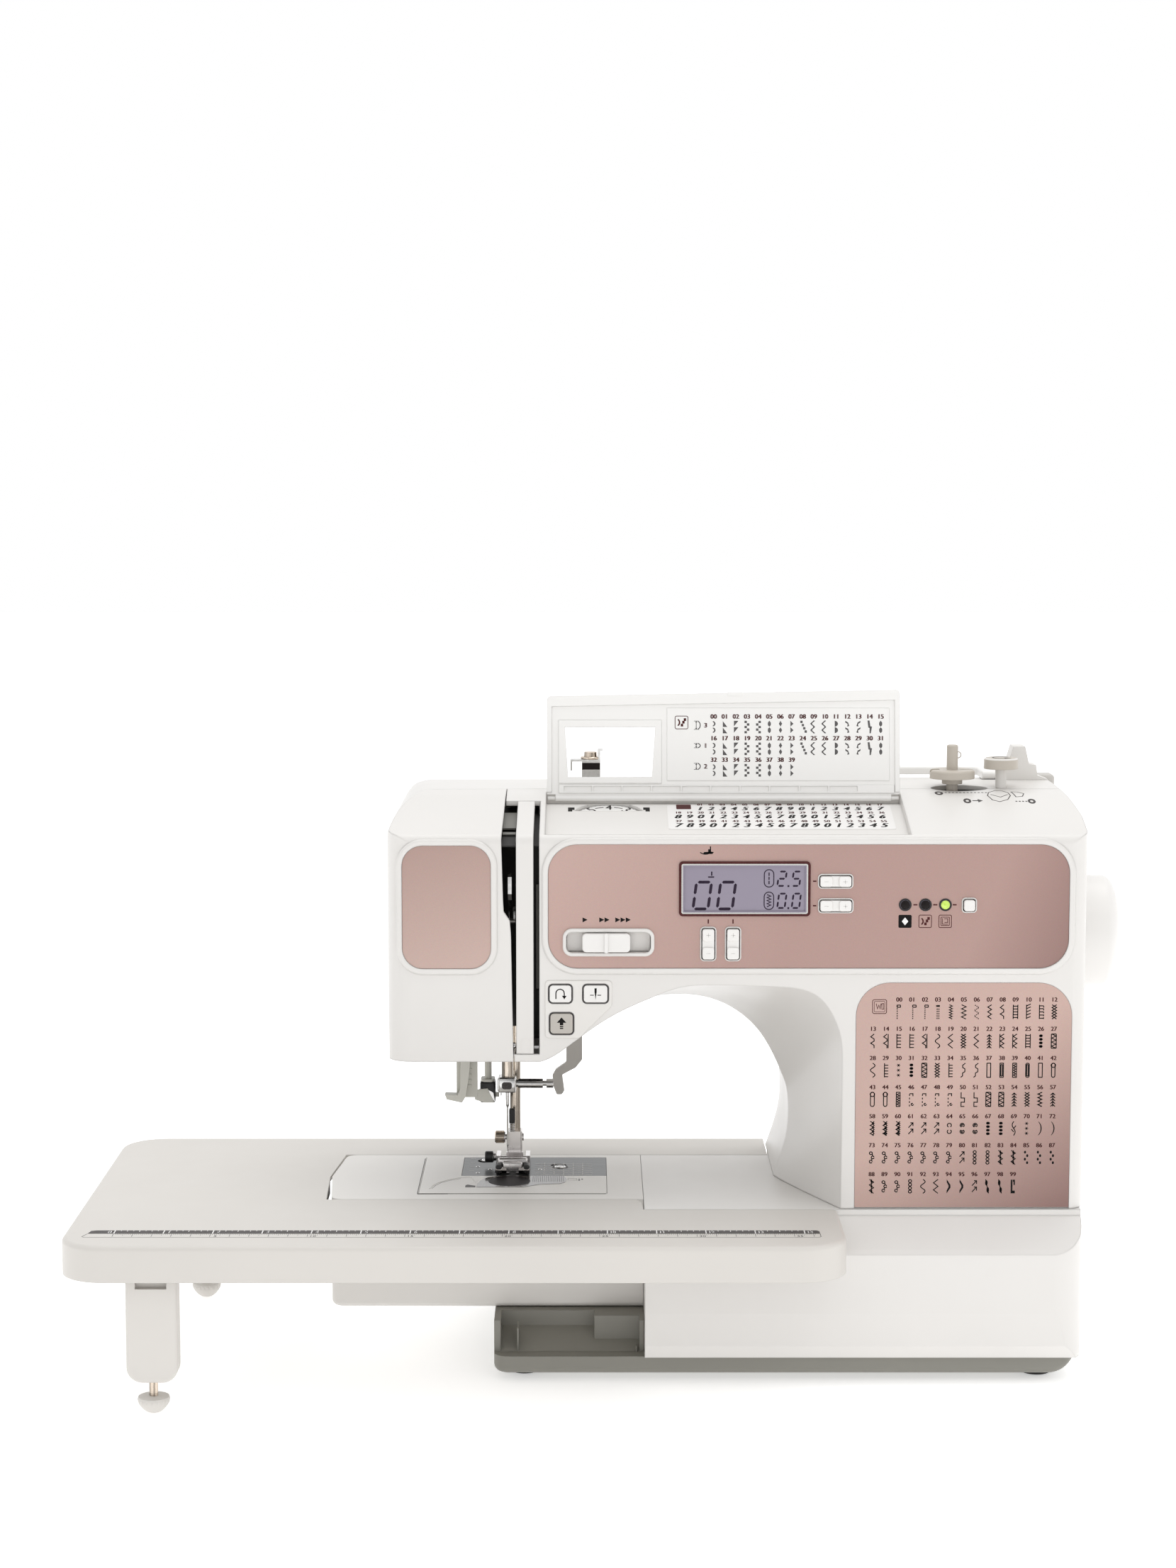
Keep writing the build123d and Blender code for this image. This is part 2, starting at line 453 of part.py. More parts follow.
ao = arm_env(0.0)
ve = [e for e in ao.edges() if abs(e.tangent_at(0.5).Z) > 0.9 and e.center().X < 0]
ao = fil(ao, [e for e in ve if abs(e.center().Y - 72) > 20], 7.0)
bed_e = [e for e in ao.faces().sort_by(Axis.Z)[0].edges() if e.center().X < BASE_X0 - 2]
ao = fil(ao, bed_e, 3.0)
arm = ao - arm_env(WALL)
PLATE = (-92.0, 10.4, 33.6, 118.0)
arm = arm - box(PLATE[0], PLATE[1], PLATE[2], PLATE[3], BED_Z - 6, BED_Z + 5)
arm = arm + (box(PLATE[0] - 2, PLATE[1] + 2, PLATE[2] - 2, PLATE[2] + 1.5, BED_Z - 6, BED_Z - 2.4)) + (box(PLATE[0] - 2, PLATE[1] + 2, PLATE[3] - 1.5, PLATE[3] + 2, BED_Z - 6, BED_Z - 2.4))
arm = arm - box(BASE_X0 - 6, BASE_X0 + 2, 26, 119, 36, 86)
put("free_arm_cover", fix(arm))

# needle plate: steel, with the needle slot, feed slots and screw holes
NP = (-70.2, 10.2, 73.7, 117.8)
npl = box(NP[0], NP[1], NP[2], NP[3], BED_Z - 2.0, BED_Z)
npl = npl - rrect_z(-49.5, -36.5, NEEDLE_Y - 1.6, NEEDLE_Y + 1.6, 80, 100, 1.5)
FEED = [(-51.5, -48.7), (-37.3, -34.5)]
for fx0, fx1 in FEED:
    npl = npl - box(fx0 - 0.5, fx1 + 0.5, 80.5, 108.5, 80, 100)
npl = npl - cyl_z(-58.5, 109.5, 80, 100, 4.0) - cyl_z(-16.5, 98.5, 80, 100, 4.4)
put("needle_plate", npl)
# steel plate screws sit in the two round holes, see case_screws

# bobbin cover: white L plate round the steel plate, with the smoked sight window
bc = box(PLATE[0] + 0.2, PLATE[1] - 0.2, PLATE[2] + 0.2, NP[2] - 0.2, BED_Z - 2.2, BED_Z + 0.1)
bc = bc + box(PLATE[0] + 0.2, NP[0] - 0.2, NP[2] - 1, PLATE[3] - 0.2, BED_Z - 2.2, BED_Z + 0.1)
win = [(-66.5, 52.5), (-61.0, 61.0), (-48.0, 69.5), (-30.0, 71.5), (-6.0, 71.5), (-2.0, 67.5), (-4.0, 62.5), (-16.0, 60.5), (-27.0, 51.0), (-60.0, 50.5)]
wcut = poly_xy(win, 80, 100)
wv = [e for e in wcut.edges() if abs(e.tangent_at(0.5).Z) > 0.9]
wcut = fil(wcut, wv, 3.0)
bc = bc - (wcut & box(-200, 200, 0, 200, BED_Z - 0.5, BED_Z + 5))
put("bobbin_cover", bc)

# ---------------------------------------------------------------- extension table
def table_plan(o, z0, z1):
    p = rrect_z(TABLE_X0 + o, TABLE_X1 - o, TABLE_Y0 + o, TABLE_Y1 - o, z0, z1, 24.0 - o)
    return p


tb = table_plan(0, APRON_Z, BED_Z)
tb = fil(tb, tb.faces().sort_by(Axis.Z)[-1].edges(), 2.6)
tb = tb - table_plan(2.8, APRON_Z - 1, BED_Z - PLATE_T)
# opening for free arm and bed: outline, then the part of the table that would stand in the column
cut = poly_xy([(ARM_X0 - 1.2, ARM_Y0 - 0.5), (BASE_X0 - 4.0, ARM_Y0 - 0.5), (BASE_X0 - 1.6, ARM_Y0 - 6), (BASE_X0 - 0.6, -1.3), (200, -1.3), (200, 200), (102.5, 200), (102.5, ARM_Y1 + 0.6), (ARM_X0 + 1.3, ARM_Y1 + 0.6), (ARM_X0 - 3.4, 72.0)], 0, 200)
tb = tb - cut
# the base bulges forward below the table top, so apron and ribs stop in front of it
tb = tb - box(BASE_X0 - 2.0, 200, -22.8, 0, 0, BED_Z - PLATE_T + 0.3)
# two hinge yokes for each leg, hanging from the table top
LEG_X, LEG_W, LEG_Y = -223.0, 26.4, (-62.0, 152.0)
PIVOT_Z = 78.4
for ly in LEG_Y:
    for sx in (-1, 1):
        xa = LEG_X + sx * (LEG_W / 2 + 0.4)
        xb = xa + sx * 3.0
        tb = tb + box(min(xa, xb), max(xa, xb), ly - 5.5, ly + 5.5, 73.4, BED_Z - 1.0)
        tb = tb - cyl_x(min(xa, xb) - 1, max(xa, xb) + 1, ly, PIVOT_Z, 1.75)
# stiffening ribs inside the apron
for rx in (-185.0,):
    tb = tb + box(rx - 1, rx + 1, TABLE_Y0 + 2, TABLE_Y1 - 2, 79.0, BED_Z - 1.0)
tb = tb + box(TABLE_X0 + 2, -150.0, 59.0, 61.0, 79.0, BED_Z - 1.0)
put("wide_table", fix(tb))

for name, ly in (("leg_front", LEG_Y[0]), ("leg_rear", LEG_Y[1])):
    x0, x1 = LEG_X - LEG_W / 2, LEG_X + LEG_W / 2
    lg = rrect_y(x0, x1, 16.6, 84.0, ly - 5.6, ly + 5.6, 8.0)
    lg = lg & (box(x0, x1, ly - 10, ly + 10, 0, PIVOT_Z) + cyl_x(x0, x1, ly, PIVOT_Z, 5.2))
    lg = fil(lg, [e for e in lg.faces().sort_by(Axis.Y)[0].edges() if e.center().Z < 60], 1.6)
    lg = lg - box(x0 + 5.2, x1 - 5.2, ly - 8, ly - 2.4, 66.0, PIVOT_Z + 10)
    lg = lg - box(x0 + 2.4, x1 - 2.4, ly - 2.6, ly + 8, 26.0, 64.4) 
    lg = lg + cyl_z(LEG_X, ly, 16.8, 32, 4.6)
    lg = lg - cyl_z(LEG_X, ly, 10, 40, 2.3)
    lg = lg + cyl_x(x0 - 3.3, x1 + 3.3, ly, PIVOT_Z, 1.7)
    put(name, fix(lg))
for name, ly in (("foot_front", LEG_Y[0]), ("foot_rear", LEG_Y[1])):
    with BuildSketch(Plane.XZ) as s:
        with BuildLine():
            l1 = Line((0, 0.0), (1.5, 0.0))
            l2 = Spline((1.5, 0.0), (4.5, 1.1), (7.2, 4.0), (8.3, 7.2), tangents=[(1, 0.1), (0.1, 1)])
            Line((8.3, 7.2), (7.9, 8.3))
            Line((7.9, 8.3), (2.2, 8.7))
            Line((2.2, 8.7), (2.2, 30.0))
            Line((2.2, 30.0), (0, 30.0))
            Line((0, 30.0), (0, 0))
        make_face()
    ft = revolve(s.sketch, Axis.Z)
    for k in range(20):
        a = math.radians(18 * k)
        ft = ft - Pos(8.7 * math.cos(a), 8.7 * math.sin(a), 7) * Cylinder(0.7, 8)
    put(name, Pos(LEG_X, ly, 0) * ft)

# ---------------------------------------------------------------- lid, modelled closed and then opened
L_HINGE = (SLOPE_Y1 + 0.2, SLOPE_Z1 - 0.9)
lid_len_r, lid_len_l = 58.9, 55.4
lid_loc = Plane(origin=(0, L_HINGE[0], L_HINGE[1]), x_dir=(1, 0, 0), z_dir=dial_n)   # x along machine, y up the slope
# plate in slope coordinates: u along X, v negative towards the front
pl_pts = [(LID_X0, 1.0), (LID_X1, 1.0), (LID_X1, -lid_len_r), (LID_X0, -lid_len_l)]
lid = extrude(make_face(Polyline(*pl_pts, close=True)), 2.4)
lid = Pos(0, 0, -1.3) * lid
lid = fil(lid, [e for e in lid.edges() if abs(e.tangent_at(0.5).Z) > 0.9 and e.center().Y < -20], 2.0)
lid_top = lid.faces().sort_by(Axis.Z)[-1]
lid = fil(lid, lid_top.edges().filter_by(lambda e: e.center().Y < -3), 1.2)
# turned-down rim on three sides of the inside
inner_pts = [(LID_X0 + 2.6, -3.2), (LID_X1 - 2.6, -3.2), (LID_X1 - 2.6, -lid_len_r + 5.6), (LID_X0 + 2.6, -lid_len_l + 5.6)]
rim_s = make_face(Polyline(*pl_pts, close=True))
rim = extrude(rim_s, 2.0) - extrude(make_face(Polyline(*inner_pts, close=True)), 2.0)
rim = Pos(0, 0, -2.1) * rim
rim = rim & box(LID_X0, LID_X1, -70, -3.2, -5, 5)
rim = fil(rim, [e for e in rim.edges() if abs(e.tangent_at(0.5).Z) > 0.9 and e.center().Y < -50 and (e.center().X < LID_X0 + 1 or e.center().X > LID_X1 - 1)], 2.0)
lid = lid + rim
# chart field, a thin raised pad, and the window over the tension dial
WIN = (-12.6, 36.6, -38.6, -11.4)
lid = lid + box(43.0, 164.0, -49.0, -9.4, -1.6, 0.0) + box(WIN[0] - 3.4, WIN[1] + 3.4, WIN[2] - 3.8, WIN[3] + 3.4, -1.9, 0.0)
lid = lid - extrude(Pos(0, 0, -5) * make_face(Polyline((WIN[0], WIN[2]), (WIN[1], WIN[2]), (WIN[1] - 1.8, WIN[3]), (WIN[0] + 1.8, WIN[3]), close=True)), 12)
# hinge rail with ribs
rail = box(LID_X0 + 6.5, LID_X1 - 3.0, -7.2, -2.6, -2.0, 0.0)
for k in range(10):
    xa = -13.1 + k * 16.05
    rail = rail - box(xa, xa + 15.2, -6.4, -3.6, -3.0, -1.2)
lid = lid + rail
barrel = cyl_x(LID_X0 + 2.4, LID_X1 - 2.4, 0.0, 0.0, 1.7)
lid = lid + barrel + cyl_x(LID_X0 + 0.4, LID_X1 - 0.4, 0.0, 0.0, 1.0)
lid = lid - box(LID_X0 - 1, LID_X0 + 4.6, -1.9, 3, -5, 5) - box(LID_X1 - 4.6, LID_X1 + 1, -1.9, 3, -5, 5) + cyl_x(LID_X0 + 0.4, LID_X0 + 5, 0, 0, 1.0) + cyl_x(LID_X1 - 5, LID_X1 - 0.4, 0, 0, 1.0)
# finger catch on the free edge
lid = lid + box(76, 84, -lid_len_r + 1.3, -lid_len_r + 3.4, -2.2, 0.0)
lid_closed = lid_loc * lid
lid_open = lid_closed.rotate(Axis((0, L_HINGE[0], L_HINGE[1]), (1, 0, 0)), -LID_OPEN)
put("top_lid", fix(lid_open))

# ---------------------------------------------------------------- tension dial and tension unit
dl = dial_pl * Pos(0, 0, -7.6) * Cylinder(DIAL_R, 6.0, align=(Align.CENTER, Align.CENTER, Align.MIN))
for k in range(48):
    a = math.radians(7.5 * k)
    dl = dl - dial_pl * Pos(DIAL_R * math.cos(a), DIAL_R * math.sin(a), -4) * Cylinder(0.45, 8)
dl = dl - dial_pl * Pos(0, 0, -4) * Cylinder(2.55, 12)
put("tension_dial", dl)
tu = cyl_x(-33.0, -20.5, 42.0, 262.0, 2.5) + cyl_x(-27.6, -26.8, 42, 262, 12.5) + cyl_x(-24.6, -23.8, 42, 262, 12.5) + cyl_x(-26.8, -24.6, 42, 262, 8.0)
tu = tu + box(-33.0, -31.0, 30.0, 60.0, 196.0, 280.0)
spring = cyl_x(-23.8, -20.6, 42, 262, 6.0)
put("tension_unit", [tu + spring])

# ---------------------------------------------------------------- frame casting inside the covers
frame = box(-128, 236, 104, 119, 37.0, 56.0)                           # lower beam
frame = frame + box(176, 236, 104, 119, 37.0, 284.0)                   # column post
frame = frame + box(-98, 236, 116, 130, 212.0, 284.0)                  # upper beam
frame = frame + box(-66, -28, 112, 118, 176.0, 284.0)                  # head plate
frame = frame + box(-60.4, -32, 80, 113, 176.0, 182.0) + box(-66, -32, 80, 113, 262.0, 268.0)
for bx in (-4.0, 150.0, 205.0):
    frame = frame + box(bx, bx + 8, 66, 117, 220.4, 238.4)
    frame = frame - cyl_x(bx - 1, bx + 9, WHEEL_Y, WHEEL_Z, 5.05)
for bx in (20.0, 205.0):
    frame = frame + box(bx, bx + 8, 78, 105, 44.0, 56.0)
    frame = frame - cyl_x(bx - 1, bx + 9, 84.0, 50.0, 4.05)
frame = frame - cyl_z(NEEDLE_X, NEEDLE_Y, 170, 275, NEEDLE_BAR_R + 0.05)
frame = frame - cyl_z(PRESS_X, PRESS_Y, 170, 275, PRESS_BAR_R + 0.05)
frame = frame - cyl_z(-56.0, 95.0, 170, 275, 2.06)
# hook bearing boss
frame = frame + box(-60, -30, 50, 104, 37.0, 40.4) - cyl_z(HOOK_X, HOOK_Y, 36, 44, 3.05)
put("machine_frame", fix(frame))

# ---------------------------------------------------------------- shafts, pulleys, belt, motor, hook
us = cyl_x(-8.0, 262.0, WHEEL_Y, WHEEL_Z, 5.0)
us = us + cyl_x(197.5, 204.0, WHEEL_Y, WHEEL_Z, PULLEY_R[0]) + cyl_x(222.0, 232.0, WHEEL_Y, WHEEL_Z, 17.0) + cyl_x(-14.0, -6.0, WHEEL_Y, WHEEL_Z, 14.0) + cyl_x(-19.0, -13.5, WHEEL_Y, WHEEL_Z + 9.0, 3.0)
put("upper_shaft", us)
ls = cyl_x(-52.0, 236.0, 84.0, 50.0, 4.0) + cyl_x(222.0, 232.0, 84.0, 50.0, 8.5) + cyl_x(-50.0, -40.0, 84.0, 50.0, 9.1)
put("lower_shaft", ls)
hk = cyl_z(HOOK_X, HOOK_Y, 37.5, 66.0, 3.0) + cyl_z(HOOK_X, HOOK_Y, 44.0, 55.5, 9.1) + cyl_z(HOOK_X, HOOK_Y, 64.0, 85.0, HOOK_R) - cyl_z(HOOK_X, HOOK_Y, 67.0, 90.0, HOOK_R - 2.0)
hk = hk - (box(HOOK_X + 4, HOOK_X + 24, HOOK_Y - 4, HOOK_Y + 14, 76, 90) & (cyl_z(HOOK_X, HOOK_Y, 60, 90, 30) - cyl_z(HOOK_X, HOOK_Y, 60, 90, HOOK_R - 2.5)))
put("rotary_hook", fix(hk))
bcase = cyl_z(HOOK_X, HOOK_Y, 68.0, 86.0, 17.6) - cyl_z(HOOK_X, HOOK_Y, 70.5, 90, 11.6) + cyl_z(HOOK_X, HOOK_Y, 69, 84, 3.0)
bcase = bcase + box(HOOK_X - 23.0, HOOK_X - 15.0, HOOK_Y - 14.0, HOOK_Y - 6.0, 85.4, 87.4)
put("bobbin_case", fix(bcase))
# belt: a closed loop round the two pulleys
def belt_face(extra, by0, bz0, br0, by1, bz1, br1):
    d = math.hypot(by1 - by0, bz1 - bz0)
    base_a = math.atan2(bz1 - bz0, by1 - by0)
    r0, r1 = br0 + extra, br1 + extra
    off = math.acos((r0 - r1) / d)
    p = lambda cy, cz, r, a: (cy + r * math.cos(a), cz + r * math.sin(a))
    a1, a2 = base_a + off, base_a - off
    s0, s1 = p(by0, bz0, r0, a1), p(by1, bz1, r1, a1)
    t0, t1 = p(by0, bz0, r0, a2), p(by1, bz1, r1, a2)
    with BuildSketch(Plane.YZ) as s:
        with BuildLine():
            Line(s0, s1)
            ThreePointArc(s1, p(by1, bz1, r1, base_a), t1)
            Line(t1, t0)
            ThreePointArc(t0, p(by0, bz0, r0, base_a + math.pi), s0)
        make_face()
    return s.sketch
belts = []
for bx, bw, loop in ((223.0, 8.0, (WHEEL_Y, WHEEL_Z, 17.15, 84.0, 50.0, 8.65)), (198.0, 5.5, (WHEEL_Y, WHEEL_Z, PULLEY_R[0] + 0.15, MOT_Y, MOT_Z, PULLEY_R[1] + 0.15))):
    belts.append(Pos(bx, 0, 0) * extrude(belt_face(1.6, *loop) - belt_face(0.0, *loop), bw))
put("drive_belts", belts)
mot = cyl_x(150.0, 196.0, MOT_Y, MOT_Z, 24.0)
mot = mot + box(158, 190, 60, 104.0, 112, 124)
mot = mot - cyl_x(190.0, 197.0, MOT_Y, MOT_Z, 2.55)
put("drive_motor", mot)
put("motor_pulley", cyl_x(191.0, 206.0, MOT_Y, MOT_Z, 2.5) + cyl_x(197.5, 204.0, MOT_Y, MOT_Z, PULLEY_R[1]))

# ---------------------------------------------------------------- handwheel
with BuildSketch(Plane.XY) as s:
    with BuildLine():
        Polyline((266.2, 0), (266.2, 30.4), (269.0, WHEEL_R), (282.0, WHEEL_R))
        Spline((282.0, WHEEL_R), (286.4, 28.9), (289.4, 20.5), (290.7, 10.0), (WHEEL_X1, 0), tangents=[(1, 0), (0.02, -1)])
        Line((WHEEL_X1, 0), (266.2, 0))
    make_face()
hw = revolve(s.sketch, Axis((0, 0, 0), (1, 0, 0)))
hw = hw - (Pos(266.2, 0, 0) * Rot(0, 90, 0) * Cylinder(26, 10)) + (Pos(267.5, 0, 0) * Rot(0, 90, 0) * Cylinder(7.6, 9.5))
hw = hw - Pos(265, 0, 0) * Rot(0, 90, 0) * Cylinder(5.0, 12)
hw = hw + Pos(265, 0, 0) * Rot(0, 90, 0) * Cylinder(5.0, 6)
put("handwheel", Pos(0, WHEEL_Y, WHEEL_Z) * hw)

# ---------------------------------------------------------------- needle bar, clamp, needle
nb = cyl_z(NEEDLE_X, NEEDLE_Y, 137.0, 292.0, NEEDLE_BAR_R)
nb = nb - cyl_z(NEEDLE_X, NEEDLE_Y, 130.0, 146.0, 1.05)
nb = nb + box(NEEDLE_X - 5, NEEDLE_X + 5, NEEDLE_Y - 5.2, NEEDLE_Y + 5.2, 222, 232)
put("needle_bar", nb)
ncl = rrect_y(NEEDLE_X - 5.6, NEEDLE_X + 5.0, 135.6, 144.2, NEEDLE_Y - 4.9, NEEDLE_Y + 4.9, 2.0)
ncl = fil(ncl, ncl.faces().sort_by(Axis.Y)[0].edges(), 0.8)
ncl = ncl - cyl_z(NEEDLE_X, NEEDLE_Y, 137.0, 150, NEEDLE_BAR_R) - cyl_z(NEEDLE_X, NEEDLE_Y, 130, 140, 1.05)
ncl = ncl + cyl_x(NEEDLE_X + 4.4, NEEDLE_X + 6.2, NEEDLE_Y, 140.0, 2.1) + cyl_x(NEEDLE_X + 6.0, -25.2, NEEDLE_Y, 140.0, 2.7) + cyl_x(-25.4, -23.0, NEEDLE_Y, 140.0, 1.5) + cyl_x(-23.2, -19.4, NEEDLE_Y, 140.0, 2.6)
ncl = ncl + cyl_y(NEEDLE_X - 3.4, NEEDLE_Y - 6.5, NEEDLE_Y - 4.5, 134.6, 0.5) + box(NEEDLE_X - 3.9, NEEDLE_X - 2.9, NEEDLE_Y - 5.2, NEEDLE_Y - 4.2, 134.4, 137)
put("needle_clamp", fix(ncl))
nd = cyl_z(NEEDLE_X, NEEDLE_Y, 128.0, 146.0, 1.0) + cone_z(NEEDLE_X, NEEDLE_Y, 126.4, 128.0, 0.55, 1.0) + cyl_z(NEEDLE_X, NEEDLE_Y, 105.0, 126.4, 0.55) + cone_z(NEEDLE_X, NEEDLE_Y, 101.0, 105.0, 0.06, 0.55)
nd = nd - box(NEEDLE_X - 0.2, NEEDLE_X + 0.2, NEEDLE_Y - 1, NEEDLE_Y + 1, 106.0, 107.6)
put("needle", nd)

# take-up lever: a bent strip that swings in the left thread slot, pivoted beside the needle bar crank
TU_Y, TU_Z = 58.0, 240.0
tl = cyl_x(-43.0, -39.6, TU_Y, TU_Z, 5.5)
tl = tl + poly_yz([(57.0, 234.5), (52.5, 238.0), (13.0, 254.5), (10.6, 258.0), (11.0, 267.0), (13.2, 269.0), (15.6, 267.4), (15.6, 260.6), (18.0, 258.6), (56.0, 245.6), (60.5, 244.0)], -42.4, -40.4)
tl = tl - cyl_x(-45, -38, 13.4, 263.2, 1.1)
tl = tl - cyl_x(-45, -38, TU_Y, TU_Z, 2.55)
put("take_up_lever", fix(tl))
parts["machine_frame"] = parts["machine_frame"]

# ---------------------------------------------------------------- presser bar, holder, foot, lifter
pb = cyl_z(PRESS_X, PRESS_Y, 103.0, 282.0, PRESS_BAR_R) + box(PRESS_X - 4.5, PRESS_X + 4.5, PRESS_Y - 5, PRESS_Y + 5, 190.0, 200.0)
put("presser_bar", pb)
ph = box(-45.2, -37.0, 94.2, 104.2, 99.0, 111.0)
ph = fil(ph, [e for e in ph.edges() if abs(e.tangent_at(0.5).Z) > 0.9], 1.0)
ph = ph - cyl_z(PRESS_X, PRESS_Y, 103.0, 112, PRESS_BAR_R)
ph = ph + box(-45.8, -36.4, 91.6, 94.4, 96.0, 99.8) + box(-45.2, -37.0, 94.0, 101.0, 96.5, 99.2)
ph = ph + cyl_x(-52.0, -46.6, 99.0, 107.0, 3.3) + cyl_x(-46.8, -44.6, 99.0, 107.0, 1.6) + cyl_x(-37.2, -36.2, 99, 107, 2.2)
put("foot_holder", fix(ph))
# clip-on zigzag foot: sole with toes, needle opening and cross pin
FZ = BED_Z + 0.6
sole = rrect_z(-51.4, -32.6, 79.0, 112.0, FZ, FZ + 1.7, 2.0)
sole = sole - box(-43.7, -40.3, 74, 85.6, 85, 100)
sole = sole - rrect_z(-49.2, -36.8, 85.4, 90.6, 85, 100, 1.6) - rrect_z(-45.5, -38.5, 96, 106, 85, 100, 1.5)
toes = box(-51.4, -44.2, 77.6, 84.6, FZ + 0.2, FZ + 1.7) + box(-39.8, -32.6, 77.6, 84.6, FZ + 0.2, FZ + 1.7)
toes = toes + poly_yz([(77.6, FZ + 0.2), (77.6, FZ + 1.7), (75.2, FZ + 3.6), (74.3, FZ + 2.4)], -51.4, -45.4) + poly_yz([(77.6, FZ + 0.2), (77.6, FZ + 1.7), (75.2, FZ + 3.6), (74.3, FZ + 2.4)], -38.6, -32.6)
cheeks = box(-51.4, -49.0, 91.5, 104.5, FZ + 1.5, FZ + 6.6) + box(-35.0, -32.6, 91.5, 104.5, FZ + 1.5, FZ + 6.6)
pin = cyl_x(-50.0, -34.0, 98.0, FZ + 4.3, 0.9)
foot = sole + toes + cheeks + pin
foot = foot + cyl_x(-53.6, -51.2, 96.0, FZ + 5.0, 1.4) + cyl_x(-57.4, -53.4, 96.0, FZ + 5.0, 3.0)
put("presser_foot", fix(foot))
ll = poly_xz([(-36.0, 186.0), (-25.0, 186.0), (-9.0, 168.0), (-3.4, 160.0), (-3.4, 140.4), (-7.2, 135.6), (-15.0, 131.4), (-13.8, 122.0), (-15.2, 119.8), (-18.2, 119.8), (-20.2, 125.0), (-20.6, 131.0), (-18.6, 134.6), (-12.6, 138.8), (-12.6, 156.0), (-24.0, 166.0), (-36.0, 173.0)], 152.6, 156.0)
ve = [e for e in ll.edges() if abs(e.tangent_at(0.5).Y) > 0.9]
ll = fil(ll, ve, 0.9)
ll = ll + cyl_y(-30.0, 136.0, 153.0, 180.0, 3.0) + cyl_y(-30.0, 150.3, 156.6, 180.0, 7.0)
put("lifter_lever", fix(ll))

# ---------------------------------------------------------------- needle threader
nt = cyl_z(-56.0, 95.0, 140.0, 240.0, 2.0) + box(-73.0, -54.5, 79.0, 97.4, 214.0, 218.0) + box(-73.0, -61.4, 79.0, 81.4, 134.0, 216.0)
nt = nt + poly_xz([(-70.2, 171.0), (-64.6, 171.0), (-65.6, 150.0), (-67.6, 136.0), (-69.8, 132.4), (-78.2, 134.2), (-79.2, 136.9), (-72.2, 136.6), (-70.9, 139.0)], 72.0, 79.2)
hd = rrect_z(-60.0, -52.2, 90.4, 100.0, 128.6, 141.6, 2.0)
nt = nt + hd + poly_xz([(-60.2, 136.4), (-63.6, 135.2), (-63.2, 130.6), (-58.0, 128.8), (-52.4, 128.8), (-56.2, 136.8)], 88.6, 90.8) + box(-52.4, -49.8, 94.0, 95.0, 131.0, 133.6)
for k in range(5):
    nt = nt + box(-69.6, -64.6, 78.4, 79.4, 140.0 + k * 3.0, 141.2 + k * 3.0)
put("needle_threader", fix(nt))

# ---------------------------------------------------------------- feed dog
fd = box(FEED[0][0], FEED[1][1], 97.0, 105.0, 76.0, 80.0)
for f0, f1 in FEED:
    fd = fd + box(f0, f1, 84.0, 105.0, 86.6, BED_Z - 0.2) + box(f0, f1, 92.0, 105.0, 78.0, 87.0)
for f0, f1 in FEED:
    for k in range(11):
        yy = 84.0 + k * 2.0
        fd = fd - poly_yz([(yy, BED_Z - 1.2), (yy + 0.9, BED_Z + 0.1), (yy - 0.9, BED_Z + 0.1)], f0 - 1, f1 + 1)
fd = fd + box(-46, -40, 98.0, 103.0, 58.0, 77.0)
put("feed_dog", fix(fd))

# ---------------------------------------------------------------- top fittings
ws = cyl_z(WINDER_X, WINDER_Y, 288.0, 331.0, 3.1)
ws = fil(ws, ws.faces().sort_by(Axis.Z)[-1].edges(), 1.0)
seat = cyl_z(WINDER_X, WINDER_Y, 312.6, 317.4, 12.3)
seat = fil(seat, seat.faces().sort_by(Axis.Z)[-1].edges(), 1.6)
seat = seat - box(WINDER_X + 4, WINDER_X + 14, WINDER_Y - 1.0, WINDER_Y + 1.0, 314.8, 320) - box(WINDER_X - 14, WINDER_X - 7, WINDER_Y - 2.2, WINDER_Y + 2.2, 315.6, 320)
ws = ws + seat + cyl_z(WINDER_X, WINDER_Y, 309.6, 312.8, 5.6) - cyl_z(WINDER_X, WINDER_Y, 280, 300, 1.5)
ws = ws + (Pos(WINDER_X + 3.0, WINDER_Y, 325.4) * Rot(90, 0, 0) * Torus(1.7, 0.28))
put("winder_spindle", fix(ws))
stp = cyl_z(227.0, 80.0, 306.0, 318.2, 3.0) + cyl_z(227.0, 80.0, 317.8, 323.6, 9.2)
stp = fil(stp, stp.faces().sort_by(Axis.Z)[-1].edges(), 1.0)
stp = stp - box(221.5, 232.5, 79.4, 80.6, 322.6, 330)
grd = poly_xz([(232.5, 300.0), (232.5, 316.0), (234.4, 320.6), (236.6, 327.8), (243.2, 327.8), (245.4, 318.0), (249.4, 317.4), (250.2, 311.6), (256.0, 309.6), (257.0, 300.0)], 100.0, 114.0)
grd = grd - envelope(0.0)
grd = grd - box(231.0, 236.9, 101.5, 109.3, 300.0, 314.6)               # room for the handle's lug
put("winder_stop", [ (stp - envelope(0.0)) , grd.solids().sort_by(SortBy.VOLUME)[-1]])
